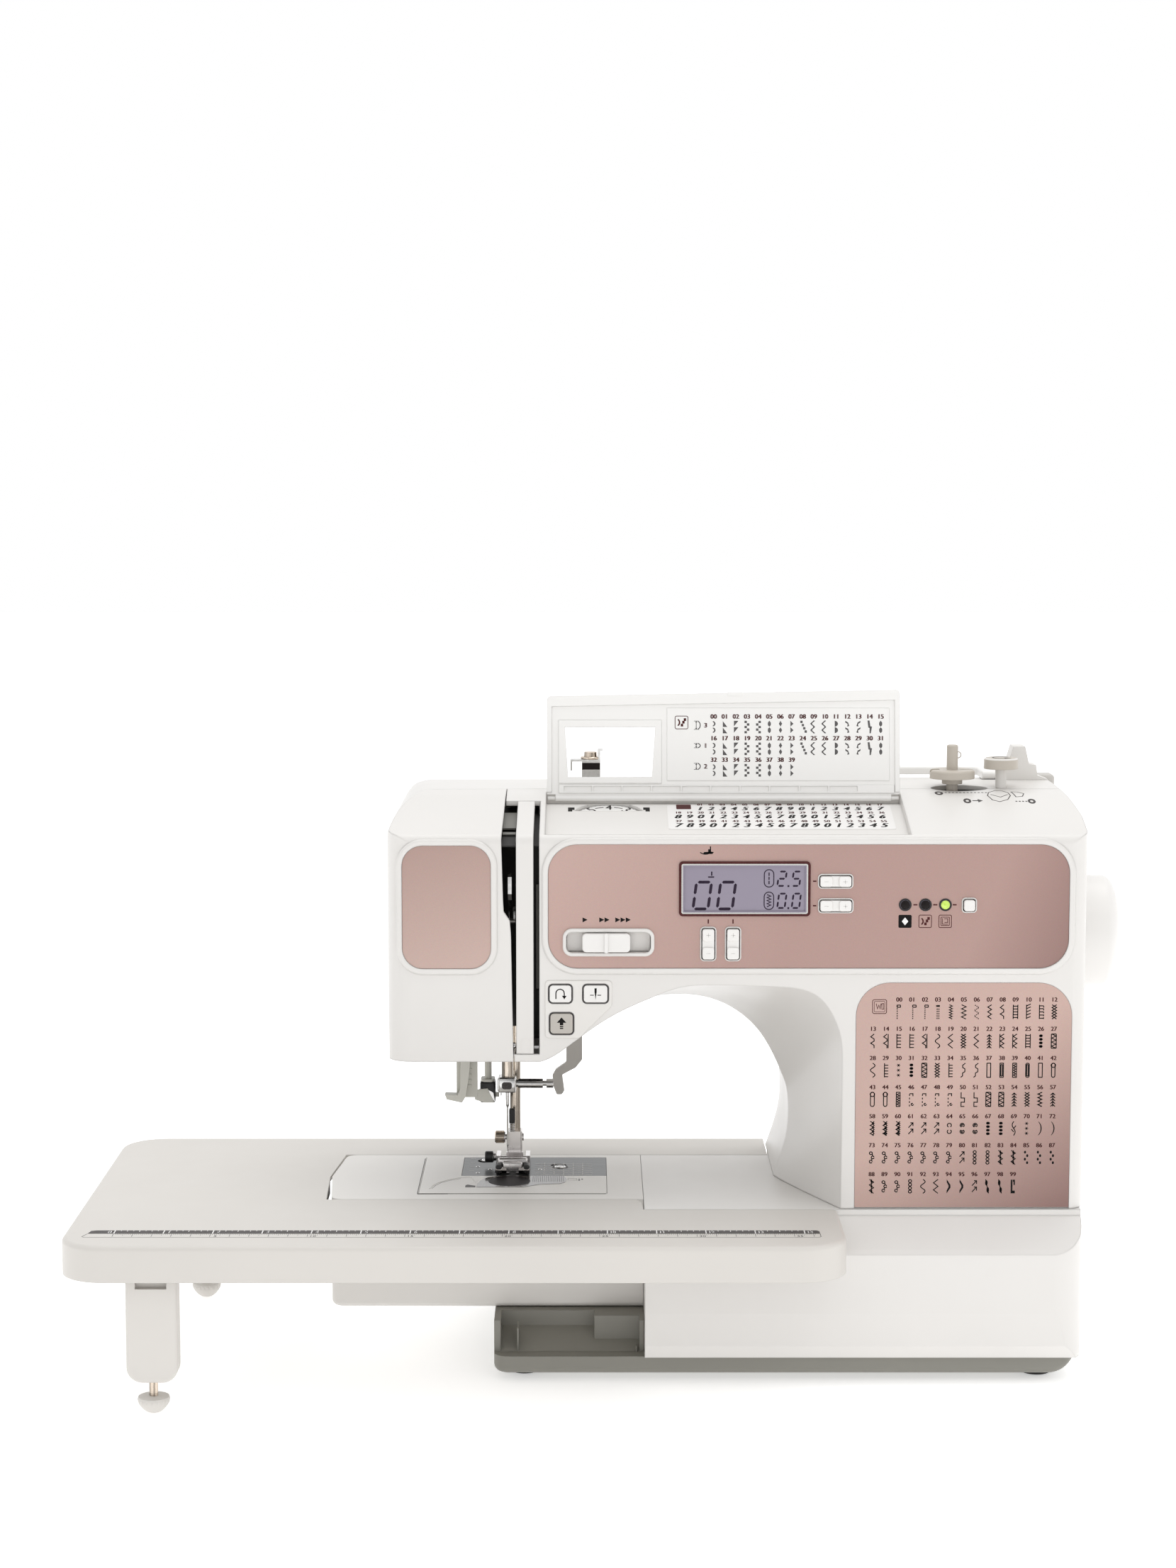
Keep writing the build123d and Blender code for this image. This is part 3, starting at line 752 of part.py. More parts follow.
# pretension guide: bent spring-steel bracket, disc and nut
PGX = -1.0
pg = box(PGX - 2.4, PGX + 7.8, 108.0, 116.0, 303.0, 311.4) + box(PGX - 2.4, PGX + 7.8, 108.0, 109.2, 304.0, 322.0) + box(PGX - 8.6, PGX + 7.8, 108.0, 114.6, 320.8, 322.0)
pg = pg + box(PGX - 8.8, PGX - 7.8, 108.0, 110.4, 315.8, 322.0) + box(PGX + 6.4, PGX + 7.8, 108.0, 110.4, 321.6, 327.8) + box(PGX + 6.4, PGX + 9.2, 108.0, 110.4, 326.8, 328.0)
pg = pg + cyl_z(PGX + 2.4, 111.2, 321.8, 323.4, 5.0) + cyl_z(PGX + 2.4, 111.2, 323.2, 325.8, 3.4)
pg = Pos(0, 0, -2.2) * fix(pg)
put("pretension_guide", pg - envelope(0.0))
sp = cyl_x(88.0, 152.0, 118.0, 321.0, 3.0) + box(152.0, 157.0, 113.0, 123.0, 308.7, 325.0) + (cyl_x(83.5, 88.2, 118.0, 321.0, 6.6))
put("spool_pin", sp)
hn = rrect_z(59.2, 231.8, 103.0, 136.6, 309.2, 313.6, 6.0)
hn = hn - rrect_z(71.0, 220.0, 98.0, 129.2, 305.0, 320.0, 5.0)       # the bar clears the spool pin when it swings up
hn = fil(hn, hn.faces().sort_by(Axis.Z)[-1].edges(), 1.3)
hn = hn - box(50, 240, 90, 105.4, 300, 320) + cyl_x(59.2, 71.0, 105.4, 311.4, 2.2) + cyl_x(220.0, 231.8, 105.4, 311.4, 2.2)
hn = hn + cyl_x(55.6, 59.4, 105.4, 311.4, 1.2) + cyl_x(231.6, 235.4, 105.4, 311.4, 1.2)
put("carry_handle", fix(hn))

# ---------------------------------------------------------------- mains inlet, switch, screws
inl = box(255.0, 265.0, 100.0, 134.0, 112.0, 150.0) 
inl = fil(inl, [e for e in inl.faces().sort_by(Axis.X)[-1].edges()], 0.8)
inl = inl - box(256.5, 270.0, 103.5, 130.5, 115.5, 128.5) + cyl_x(256.0, 262.0, 110.5, 122.0, 1.2) + cyl_x(256.0, 262.0, 123.5, 122.0, 1.2)
inl = inl - box(256.5, 270.0, 107.6, 126.4, 131.8, 148.2)
put("power_inlet", inl)
sw = poly_xz([(258.0, 133.4), (264.6, 133.4), (266.4, 140.0), (267.4, 146.6), (258.0, 146.6)], 108.0, 126.0)
sw = sw - cyl_y(259.6, 100, 130, 140, 1.0)
put("power_switch", sw)

scr = []
def screw_y(x, y, z, r, sgn):
    h = cyl_y(x, min(y, y + sgn * 1.6), max(y, y + sgn * 1.6), z, r)
    h = h - box(x - r, x + r, min(y + sgn * 0.8, y + sgn * 2), max(y + sgn * 0.8, y + sgn * 2), z - 0.4, z + 0.4) - box(x - 0.4, x + 0.4, min(y + sgn * 0.8, y + sgn * 2), max(y + sgn * 0.8, y + sgn * 2), z - r, z + r)
    return h
for sx, sz in ((-90, 200), (-90, 280), (60, 230), (60, 290), (240, 120), (240, 280), (150, 200)):
    scr.append(screw_y(sx, 150.1, sz, 3.2, 1))
for sx, sy, r in ((-58.5, 109.5, 3.7), (-16.5, 98.5, 4.1)):
    h = cyl_z(sx, sy, BED_Z - 2.0, BED_Z - 0.5, r) - box(sx - r, sx + r, sy - 0.5, sy + 0.5, BED_Z - 1.2, BED_Z)
    scr.append(h)
put("case_screws", scr)

# ---------------------------------------------------------------- export
if __name__ == "__main__":
    os.makedirs("parts", exist_ok=True)
    for f in os.listdir("parts"):
        if f.endswith(".step"):
            os.remove(os.path.join("parts", f))
    for name, sol in parts.items():
        shape = sol[0] if len(sol) == 1 else Compound(sol)
        export_step(shape, f"parts/{name}.step")
    print(len(parts), "nodes")
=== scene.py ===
import math

import bmesh
import bpy
from mathutils import Matrix, Vector


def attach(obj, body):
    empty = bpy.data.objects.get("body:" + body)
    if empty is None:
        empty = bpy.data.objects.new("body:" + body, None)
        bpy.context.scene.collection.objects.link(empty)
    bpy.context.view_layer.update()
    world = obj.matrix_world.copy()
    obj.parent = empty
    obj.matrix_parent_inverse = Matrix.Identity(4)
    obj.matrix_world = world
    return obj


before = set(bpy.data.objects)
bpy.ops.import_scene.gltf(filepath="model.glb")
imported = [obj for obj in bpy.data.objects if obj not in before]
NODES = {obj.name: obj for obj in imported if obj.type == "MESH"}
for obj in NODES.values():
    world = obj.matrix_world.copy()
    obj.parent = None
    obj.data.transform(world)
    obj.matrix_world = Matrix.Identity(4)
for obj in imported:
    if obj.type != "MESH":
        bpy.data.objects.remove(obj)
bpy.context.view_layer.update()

# Working coordinates are millimetres from the front face of the arm, as in the part's own drawing:
# X right, Y back, Z up.  M() turns them into the row frame.
CX, CY = 10.5, 45.5


def M(x, y, z):
    return Vector(((x - CX) / 1000.0, (y - CY) / 1000.0, z / 1000.0))


SLOPE = math.atan2(304.2 - 289.3, 59.0)
LID_OPEN = math.radians(112.2)
HINGE = (62.2, 303.3)
BED = 90.6


# ------------------------------------------------------------------ materials
def new_mat(name):
    m = bpy.data.materials.new(name)
    m.use_nodes = True
    nt = m.node_tree
    b = nt.nodes["Principled BSDF"]
    return m, nt, b


def coords(nt):
    tc = nt.nodes.new("ShaderNodeTexCoord")
    return tc.outputs["Object"]


def noise(nt, scale, detail=2.0, vec=None, rough=0.5):
    n = nt.nodes.new("ShaderNodeTexNoise")
    n.inputs["Scale"].default_value = scale
    n.inputs["Detail"].default_value = detail
    n.inputs["Roughness"].default_value = rough
    nt.links.new(vec if vec is not None else coords(nt), n.inputs["Vector"])
    return n.outputs["Fac"]


def ramp(nt, fac, stops):
    r = nt.nodes.new("ShaderNodeValToRGB")
    el = r.color_ramp.elements
    el[0].position, el[0].color = stops[0][0], (*stops[0][1], 1)
    el[1].position, el[1].color = stops[-1][0], (*stops[-1][1], 1)
    for p, c in stops[1:-1]:
        e = el.new(p)
        e.color = (*c, 1)
    nt.links.new(fac, r.inputs["Fac"])
    return r.outputs["Color"]


def bump(nt, height, strength, distance=0.0002, normal=None):
    b = nt.nodes.new("ShaderNodeBump")
    b.inputs["Strength"].default_value = strength
    b.inputs["Distance"].default_value = distance
    nt.links.new(height, b.inputs["Height"])
    if normal is not None:
        nt.links.new(normal, b.inputs["Normal"])
    return b.outputs["Normal"]


def soft_edges(nt, radius):
    b = nt.nodes.new("ShaderNodeBevel")
    b.samples = 4
    b.inputs["Radius"].default_value = radius
    return b.outputs["Normal"]


def plastic(name, color, vary=0.02, rough=0.36, grain=2200.0, gstr=0.06, coat=0.0, edge=0.0, spec=0.5, sss=0.0):
    """Moulded plastic: faint colour drift, fine spark-eroded grain and a slight change of gloss over the surface."""
    m, nt, b = new_mat(name)
    v = coords(nt)
    lowf = noise(nt, 9.0, 3.0, v)
    c0 = tuple(max(0.0, c * (1 - vary)) for c in color)
    c1 = tuple(min(1.0, c * (1 + vary)) for c in color)
    nt.links.new(ramp(nt, lowf, [(0.3, c0), (0.7, c1)]), b.inputs["Base Color"])
    rr = ramp(nt, noise(nt, 38.0, 2.0, v), [(0.25, (rough - 0.04,) * 3), (0.75, (rough + 0.05,) * 3)])
    nt.links.new(rr, b.inputs["Roughness"])
    base_n = soft_edges(nt, edge) if edge else None
    nt.links.new(bump(nt, noise(nt, grain, 1.5, v), gstr, 0.00008, base_n), b.inputs["Normal"])
    b.inputs["Specular IOR Level"].default_value = spec
    if coat:
        b.inputs["Coat Weight"].default_value = coat
        b.inputs["Coat Roughness"].default_value = 0.12
    if sss:
        b.inputs["Subsurface Weight"].default_value = sss
        b.inputs["Subsurface Scale"].default_value = 0.003
    return m


def metal(name, color, rough=0.22, streak=None, strength=0.1, vary=0.05, edge=0.0):
    """Metal with fine machining or brushing lines along one axis."""
    m, nt, b = new_mat(name)
    v = coords(nt)
    mp = nt.nodes.new("ShaderNodeMapping")
    s = {"x": (40, 2600, 2600), "y": (2600, 40, 2600), "z": (2600, 2600, 40), None: (700, 700, 700)}[streak]
    mp.inputs["Scale"].default_value = s
    nt.links.new(v, mp.inputs["Vector"])
    f = noise(nt, 1.0, 2.0, mp.outputs["Vector"])
    c0 = tuple(c * (1 - vary) for c in color)
    c1 = tuple(min(1.0, c * (1 + vary)) for c in color)
    nt.links.new(ramp(nt, f, [(0.3, c0), (0.7, c1)]), b.inputs["Base Color"])
    rr = ramp(nt, f, [(0.2, (max(0.03, rough - 0.05),) * 3), (0.8, (rough + 0.07,) * 3)])
    nt.links.new(rr, b.inputs["Roughness"])
    nt.links.new(bump(nt, f, strength, 0.00003, soft_edges(nt, edge) if edge else None), b.inputs["Normal"])
    b.inputs["Metallic"].default_value = 1.0
    return m


def polished(name, tint, rough=0.14, stops=None, tilt=(0.8, 0.0, 0.6), strength=0.04):
    """Bright metal with painted reflections: darker and lighter bands in the base colour by the way the surface faces,
    as in a studio with dark screens.
    """
    m, nt, b = new_mat(name)
    tc = nt.nodes.new("ShaderNodeTexCoord")
    d = nt.nodes.new("ShaderNodeVectorMath")
    d.operation = "DOT_PRODUCT"
    nt.links.new(tc.outputs["Normal"], d.inputs[0])
    d.inputs[1].default_value = tilt
    mr = nt.nodes.new("ShaderNodeMapRange")
    mr.inputs["From Min"].default_value = -1.0
    mr.inputs["From Max"].default_value = 1.0
    nt.links.new(d.outputs["Value"], mr.inputs["Value"])
    n = noise(nt, 420.0, 2.0, tc.outputs["Object"])
    mix = nt.nodes.new("ShaderNodeMixRGB")
    mix.inputs["Fac"].default_value = 0.08
    nt.links.new(mr.outputs["Result"], mix.inputs["Color1"])
    nt.links.new(n, mix.inputs["Color2"])
    # stops: the dark and light bands of the painted reflection, across the facing direction
    st = stops or [(0.0, 0.10), (0.2, 0.30), (0.38, 0.72), (0.5, 0.60), (0.6, 0.24), (0.74, 0.85), (1.0, 0.45)]
    nt.links.new(ramp(nt, mix.outputs["Color"], [(q, tuple(t * v for t in tint)) for q, v in st]), b.inputs["Base Color"])
    nt.links.new(ramp(nt, n, [(0.2, (rough - 0.03,) * 3), (0.8, (rough + 0.05,) * 3)]), b.inputs["Roughness"])
    nt.links.new(bump(nt, n, strength, 0.00003), b.inputs["Normal"])
    b.inputs["Metallic"].default_value = 1.0
    return m


def rose_metal(name, way, lo, hi, stops):
    """Pearl rose lacquer: one slow drift across the panel from a painted highlight to painted shade, fine flake in
    colour and bump, clear coat on top.
    """
    m, nt, b = new_mat(name)
    v = coords(nt)
    # painted sheen and shade: the colour ramps with position along one direction across the panel
    dot = nt.nodes.new("ShaderNodeVectorMath")
    dot.operation = "DOT_PRODUCT"
    nt.links.new(v, dot.inputs[0])
    dot.inputs[1].default_value = way
    mr = nt.nodes.new("ShaderNodeMapRange")
    mr.inputs["From Min"].default_value = lo
    mr.inputs["From Max"].default_value = hi
    nt.links.new(dot.outputs["Value"], mr.inputs["Value"])
    tone = ramp(nt, mr.outputs["Result"], stops)
    vo = nt.nodes.new("ShaderNodeTexVoronoi")
    vo.inputs["Scale"].default_value = 5200.0
    nt.links.new(v, vo.inputs["Vector"])
    mix = nt.nodes.new("ShaderNodeMixRGB")
    mix.blend_type = "OVERLAY"
    mix.inputs["Fac"].default_value = 0.07
    nt.links.new(tone, mix.inputs["Color1"])
    nt.links.new(vo.outputs["Color"], mix.inputs["Color2"])
    nt.links.new(mix.outputs["Color"], b.inputs["Base Color"])
    b.inputs["Metallic"].default_value = 0.2
    b.inputs["Roughness"].default_value = 0.45
    b.inputs["Coat Weight"].default_value = 0.15
    b.inputs["Coat Roughness"].default_value = 0.25
    nt.links.new(bump(nt, vo.outputs["Distance"], 0.05, 0.00004), b.inputs["Normal"])
    return m


def ink(name, color, rough=0.45):
    m, nt, b = new_mat(name)
    f = noise(nt, 900.0, 1.0)
    c0 = tuple(c * 0.9 for c in color)
    c1 = tuple(min(1.0, c * 1.12 + 0.002) for c in color)
    nt.links.new(ramp(nt, f, [(0.35, c0), (0.65, c1)]), b.inputs["Base Color"])
    b.inputs["Roughness"].default_value = rough
    b.inputs["Specular IOR Level"].default_value = 0.12
    return m


# rose tones: the lightest is a painted highlight, the darkest painted shade, the two ends of the panels' painted sheen
ROSE_PAINTED_SHADE, ROSE_MID, ROSE_PAINTED_SHEEN = (0.20, 0.108, 0.095), (0.40, 0.258, 0.228), (0.50, 0.345, 0.305)
WHITE = plastic("casing_white", (0.71, 0.692, 0.668), rough=0.36, coat=0.1, edge=0.0013)
# brighter white: the lid's own colour; on the tension dial and carry handle it is painted light against the shade they
# stand in
WHITE_LID_AND_PAINTED_LIGHT = plastic("lid_white_and_painted_light", (0.85, 0.84, 0.82), rough=0.4, edge=0.0006)
CARDW = plastic("card_white", (0.78, 0.765, 0.75), vary=0.01, rough=0.5, gstr=0.02)
WHEELW = plastic("wheel_white", (0.79, 0.775, 0.755), rough=0.34, coat=0.1, edge=0.001)
EMBOSS = plastic("embossed_white", (0.70, 0.68, 0.655), rough=0.4)
WHITE2 = plastic("casing_white_warm", (0.725, 0.705, 0.675), rough=0.4, edge=0.0005)
TABLEW = plastic("table_white", (0.625, 0.60, 0.565), rough=0.45, grain=1500.0, gstr=0.1, edge=0.0005)
KEYW = plastic("key_white", (0.77, 0.755, 0.735), rough=0.32, coat=0.2, edge=0.0003)
LEGW = plastic("leg_white", (0.66, 0.635, 0.60), rough=0.42, edge=0.0005)
# tray: dark grey far below the casing's white, painted shade for the space under the table
TRAY_PAINTED_SHADE = plastic("tray_painted_shade", (0.235, 0.228, 0.20), rough=0.5, grain=1300.0, gstr=0.15, edge=0.0006)
BEIGE = plastic("beige_plastic", (0.50, 0.455, 0.395), rough=0.4, edge=0.0003)
GREYP = plastic("grey_plastic", (0.52, 0.50, 0.47), rough=0.42, edge=0.0003)
GREYKEY = plastic("grey_key", (0.47, 0.44, 0.40), rough=0.4, edge=0.0003)
BLACKP = plastic("black_plastic", (0.012, 0.011, 0.011), vary=0.2, rough=0.42, gstr=0.15)
DARKIN = plastic("dark_inside", (0.016, 0.014, 0.012), vary=0.2, rough=0.6, gstr=0.15)
RUBBER = plastic("rubber_black", (0.02, 0.02, 0.02), vary=0.15, rough=0.8, gstr=0.4)
# control panel, chart and badge: the slow diagonal drift in their colour is painted sheen and shade
ROSE = rose_metal("rose_panel_painted_sheen", (0.92, 0.0, -0.39), -0.14, 0.16, [(0.0, ROSE_PAINTED_SHEEN), (0.45, ROSE_MID), (0.75, ROSE_MID), (1.0, ROSE_PAINTED_SHADE)])
ROSE_C = rose_metal("rose_chart_painted_sheen", (0.62, 0.0, -0.78), -0.085, 0.085, [(0.0, ROSE_PAINTED_SHEEN), (0.45, (0.52, 0.36, 0.315)), (1.0, ROSE_PAINTED_SHADE)])
ROSE_B = rose_metal("rose_badge_painted_sheen", (0.25, 0.0, -0.97), -0.315, -0.235, [(0.0, (0.375, 0.25, 0.218)), (1.0, (0.515, 0.375, 0.33))])
# chrome, steel bars, bronze and foot steel: the bands in their base colour are painted reflections
CHROME = polished("chrome_parts", (1.0, 0.99, 0.975))
STEEL = polished("steel_bars", (0.80, 0.71, 0.61), 0.2, [(0.0, 0.08), (0.2, 0.22), (0.34, 0.75), (0.5, 0.85), (0.62, 0.38), (0.8, 0.62), (1.0, 0.15)], (1.0, 0.0, 0.0))
BRONZE = polished("bronze_parts", (1.0, 0.86, 0.72), 0.22)
FOOTM = polished("foot_steel", (1.0, 0.965, 0.955), 0.24, [(0.0, 0.10), (0.2, 0.30), (0.36, 0.72), (0.5, 0.88), (0.6, 0.38), (0.78, 0.84), (1.0, 0.4)])
PLATEM = metal("needle_plate_steel", (0.105, 0.108, 0.110), rough=0.3, streak="x", strength=0.12)
THREADP = plastic("threader_plastic", (0.64, 0.63, 0.57), rough=0.35, edge=0.0003)
INNERG = plastic("inner_guard_grey", (0.20, 0.195, 0.175), rough=0.45)
STEELX = metal("steel_shaft", (0.6, 0.6, 0.58), rough=0.25, streak="x", strength=0.1)
CASTM = metal("cast_alloy", (0.45, 0.45, 0.45), rough=0.5, streak=None, strength=0.3)
SCREWM = metal("screw_steel", (0.5, 0.5, 0.48), rough=0.25, strength=0.05)
BEZEL = metal("bezel_rose", (0.50, 0.36, 0.32), rough=0.3, streak=None, strength=0.04)
MAROON = ink("ink_maroon", (0.070, 0.018, 0.018))
INKB = ink("ink_black", (0.005, 0.004, 0.004))
INKG = ink("ink_grey", (0.11, 0.105, 0.105))
INKD = ink("ink_dark_grey", (0.075, 0.068, 0.066))
INKL = ink("ink_light_grey", (0.58, 0.565, 0.55))
INKW = ink("ink_white", (0.80, 0.79, 0.78))
LCDINK = ink("lcd_segments", (0.022, 0.013, 0.028))
LCDBG = plastic("lcd_ground", (0.235, 0.205, 0.268), vary=0.03, rough=0.35, gstr=0.01, coat=0.6)


def smoked():
    m, nt, b = new_mat("smoked_window")
    f = noise(nt, 60.0, 2.0)
    nt.links.new(ramp(nt, f, [(0.2, (0.075, 0.068, 0.06)), (0.8, (0.12, 0.11, 0.10))]), b.inputs["Base Color"])
    b.inputs["Roughness"].default_value = 0.12
    b.inputs["Coat Weight"].default_value = 0.5
    b.inputs["Coat Roughness"].default_value = 0.05
    return m


SMOKE = smoked()


def lit():
    m, nt, b = new_mat("lamp_lit")
    f = noise(nt, 700.0, 1.0)
    c = ramp(nt, f, [(0.2, (0.34, 0.50, 0.06)), (0.8, (0.50, 0.68, 0.14))])
    nt.links.new(c, b.inputs["Base Color"])
    nt.links.new(c, b.inputs["Emission Color"])
    b.inputs["Emission Strength"].default_value = 0.35
    b.inputs["Roughness"].default_value = 0.2
    return m


LIT = lit()
LAMP = plastic("lamp_dark", (0.010, 0.007, 0.007), vary=0.2, rough=0.45, gstr=0.02, spec=0.15)


# ------------------------------------------------------------------ mesh helpers
class Geo:
    """Collects closed solids in one mesh."""

    def __init__(self):
        self.v, self.f = [], []

    def add(self, verts, faces):
        n = len(self.v)
        self.v += [Vector(p) for p in verts]
        self.f += [tuple(i + n for i in f) for f in faces]

    def obj(self, name, mat, body, slot=None, smooth=False, angle=30, weld=False):
        me = bpy.data.meshes.new(name)
        me.from_pydata([tuple(p) for p in self.v], [], self.f)
        me.validate()
        o = bpy.data.objects.new(name, me)
        bpy.context.scene.collection.objects.link(o)
        me.materials.append(mat)
        bm = bmesh.new()
        bm.from_mesh(me)
        if weld:
            bmesh.ops.remove_doubles(bm, verts=bm.verts, dist=1e-7)
        bmesh.ops.recalc_face_normals(bm, faces=bm.faces)
        bm.to_mesh(me)
        bm.free()
        if smooth:
            for p in me.polygons:
                p.use_smooth = True
            me.set_sharp_from_angle(angle=math.radians(angle))
        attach(o, body)
        return o


class Pl:
    """A plane: p(a, b, h) is the point a along u, b along v and h along the normal, in the row frame."""

    def __init__(self, o, u, v):
        self.o, self.u, self.v = Vector(o), Vector(u).normalized(), Vector(v).normalized()
        self.n = self.u.cross(self.v)

    def p(self, a, b, h=0.0):
        q = self.o + self.u * a + self.v * b + self.n * h
        return M(q.x, q.y, q.z)


def front(y):
    return Pl((0, y, 0), (1, 0, 0), (0, 0, 1))


def back(y):
    return Pl((0, y, 0), (-1, 0, 0), (0, 0, 1))


def right(x):
    return Pl((x, 0, 0), (0, 1, 0), (0, 0, 1))


def top(z):
    return Pl((0, 0, z), (1, 0, 0), (0, 1, 0))


c_, s_ = math.cos(SLOPE), math.sin(SLOPE)


def slope(w):
    return Pl((0, 3.0 - s_ * w, 289.3 + c_ * w), (1, 0, 0), (0, c_, s_))


def _rot(y, z):
    return (y * math.cos(-LID_OPEN) - z * math.sin(-LID_OPEN), y * math.sin(-LID_OPEN) + z * math.cos(-LID_OPEN))


LV, LW = _rot(c_, s_), _rot(-s_, c_)


def lid(w):
    """Inside face of the open lid, reading from the front: a is X, b is the height from the hinge."""
    return Pl((0, HINGE[0] + LW[0] * w, HINGE[1] + LW[1] * w), (1, 0, 0), (0, -LV[0], -LV[1]))


def prism(g, pl, poly, h0, h1):
    n = len(poly)
    g.add([pl.p(a, b, h0) for a, b in poly] + [pl.p(a, b, h1) for a, b in poly],
          [tuple(range(n - 1, -1, -1)), tuple(range(n, 2 * n))] + [(i, (i + 1) % n, n + (i + 1) % n, n + i) for i in range(n)])


def ring_prism(g, pl, outer, inner, h0, h1):
    n = len(outer)
    V = [pl.p(a, b, h0) for a, b in outer] + [pl.p(a, b, h0) for a, b in inner] + [pl.p(a, b, h1) for a, b in outer] + [pl.p(a, b, h1) for a, b in inner]
    F = []
    for i in range(n):
        j = (i + 1) % n
        F += [(i, n + i, n + j, j), (2 * n + i, 2 * n + j, 3 * n + j, 3 * n + i), (i, j, 2 * n + j, 2 * n + i), (n + i, 3 * n + i, 3 * n + j, n + j)]
    g.add(V, F)


def rrect(cx, cy, w, h, r, k=5):
    r = min(r, w / 2 - 1e-4, h / 2 - 1e-4)
    out = []
    for qx, qy, a0 in ((1, 1, 0), (-1, 1, 90), (-1, -1, 180), (1, -1, 270)):
        for i in range(k + 1):
            a = math.radians(a0 + 90 * i / k)
            out.append((cx + qx * (w / 2 - r) + r * math.cos(a), cy + qy * (h / 2 - r) + r * math.sin(a)))
    return out


def circle(cx, cy, r, k=24, ry=None):
    ry = r if ry is None else ry
    return [(cx + r * math.cos(2 * math.pi * i / k), cy + ry * math.sin(2 * math.pi * i / k)) for i in range(k)]


def arc(cx, cy, r, a0, a1, k=12, ry=None):
    ry = r if ry is None else ry
    return [(cx + r * math.cos(math.radians(a0 + (a1 - a0) * i / k)), cy + ry * math.sin(math.radians(a0 + (a1 - a0) * i / k))) for i in range(k + 1)]


def stroke(g, pl, pts, w, h0, h1, closed=False):
    """A flat ribbon of width w along pts, with mitred joints, as one closed solid."""
    P = [Vector((a, b)) for a, b in pts]
    n = len(P)
    L, R = [], []
    for i in range(n):
        if closed:
            d0, d1 = P[i] - P[i - 1], P[(i + 1) % n] - P[i]
        else:
            d0 = P[i] - P[i - 1] if i else P[1] - P[0]
            d1 = P[i + 1] - P[i] if i < n - 1 else P[-1] - P[-2]
        if d0.length < 1e-9:
            d0 = d1
        if d1.length < 1e-9:
            d1 = d0
        d0.normalize()
        d1.normalize()
        t = (d0 + d1)
        if t.length < 0.2:
            t = d1
        t.normalize()
        nr = Vector((-t.y, t.x))
        k = max(0.45, nr.dot(Vector((-d1.y, d1.x))))
        L.append(P[i] + nr * (w / 2 / k))
        R.append(P[i] - nr * (w / 2 / k))
    if closed:
        ring_prism(g, pl, [tuple(q) for q in L], [tuple(q) for q in R], h0, h1)
    else:
        V = [pl.p(q.x, q.y, h0) for q in L] + [pl.p(q.x, q.y, h0) for q in R] + [pl.p(q.x, q.y, h1) for q in L] + [pl.p(q.x, q.y, h1) for q in R]
        F = []
        for i in range(n - 1):
            j = i + 1
            F += [(i, n + i, n + j, j), (2 * n + i, 2 * n + j, 3 * n + j, 3 * n + i), (i, j, 2 * n + j, 2 * n + i), (n + i, 3 * n + i, 3 * n + j, n + j)]
        F += [(0, 2 * n, 3 * n, n), (n - 1, 2 * n - 1, 4 * n - 1, 3 * n - 1)]
        g.add(V, F)


_glyphs = {}


def glyph(ch):
    """Outline of one character as a closed solid of height 1 between 0 and 1 in depth."""
    if ch in _glyphs:
        return _glyphs[ch]
    cu = bpy.data.curves.new("g", "FONT")
    cu.body = ch
    cu.size = 1.0
    cu.extrude = 0.5
    cu.resolution_u = 3
    o = bpy.data.objects.new("g", cu)
    bpy.context.scene.collection.objects.link(o)
    bpy.context.view_layer.update()
    me = bpy.data.meshes.new_from_object(o.evaluated_get(bpy.context.evaluated_depsgraph_get()))
    bm = bmesh.new()
    bm.from_mesh(me)
    bmesh.ops.remove_doubles(bm, verts=bm.verts, dist=1e-5)
    bmesh.ops.dissolve_degenerate(bm, edges=bm.edges, dist=1e-6)
    bm.verts.ensure_lookup_table()
    V = [v.co.copy() for v in bm.verts]
    F = [tuple(v.index for v in f.verts) for f in bm.faces]
    bm.free()
    bpy.data.objects.remove(o)
    bpy.data.curves.remove(cu)
    bpy.data.meshes.remove(me)
    xs = [p.x for p in V]
    _glyphs[ch] = (V, F, min(xs), max(xs))
    return _glyphs[ch]


def cap_height():
    V = glyph("1")[0]
    return max(p.y for p in V)


def text(g, pl, s, a, b, h, t0, t1, pitch=None, align="c", shear=0.0, sx=1.0, bold=0.0):
    """Writes digits centred at (a, b), with digit height h."""
    k = h / cap_height()
    if pitch is None:
        V, F, x0, x1 = glyph("0")
        pitch = (x1 - x0) * k * 1.16
    pitch *= sx
    n = len(s)
    widths = [pitch * (0.5 if ch in ".'" else 1.0) for ch in s]
    total = sum(widths)
    x = a - (total / 2 if align == "c" else 0 if align == "l" else total)
    for ch, wd in zip(s, widths):
        V, F, x0, x1 = glyph(ch)
        cx = (x0 + x1) / 2
        reps = [(0.0, 0.0)] if not bold else [(-bold, 0.0), (bold, 0.0)]
        for ox, oy in reps:
            pts = []
            for p in V:
                yy = p.y * k - h / 2
                xx = (p.x - cx) * k * sx + x + wd / 2 + shear * yy + ox
                pts.append(pl.p(xx, b + yy + oy, t0 if p.z < 0 else t1))
            g.add(pts, F)
        x += wd


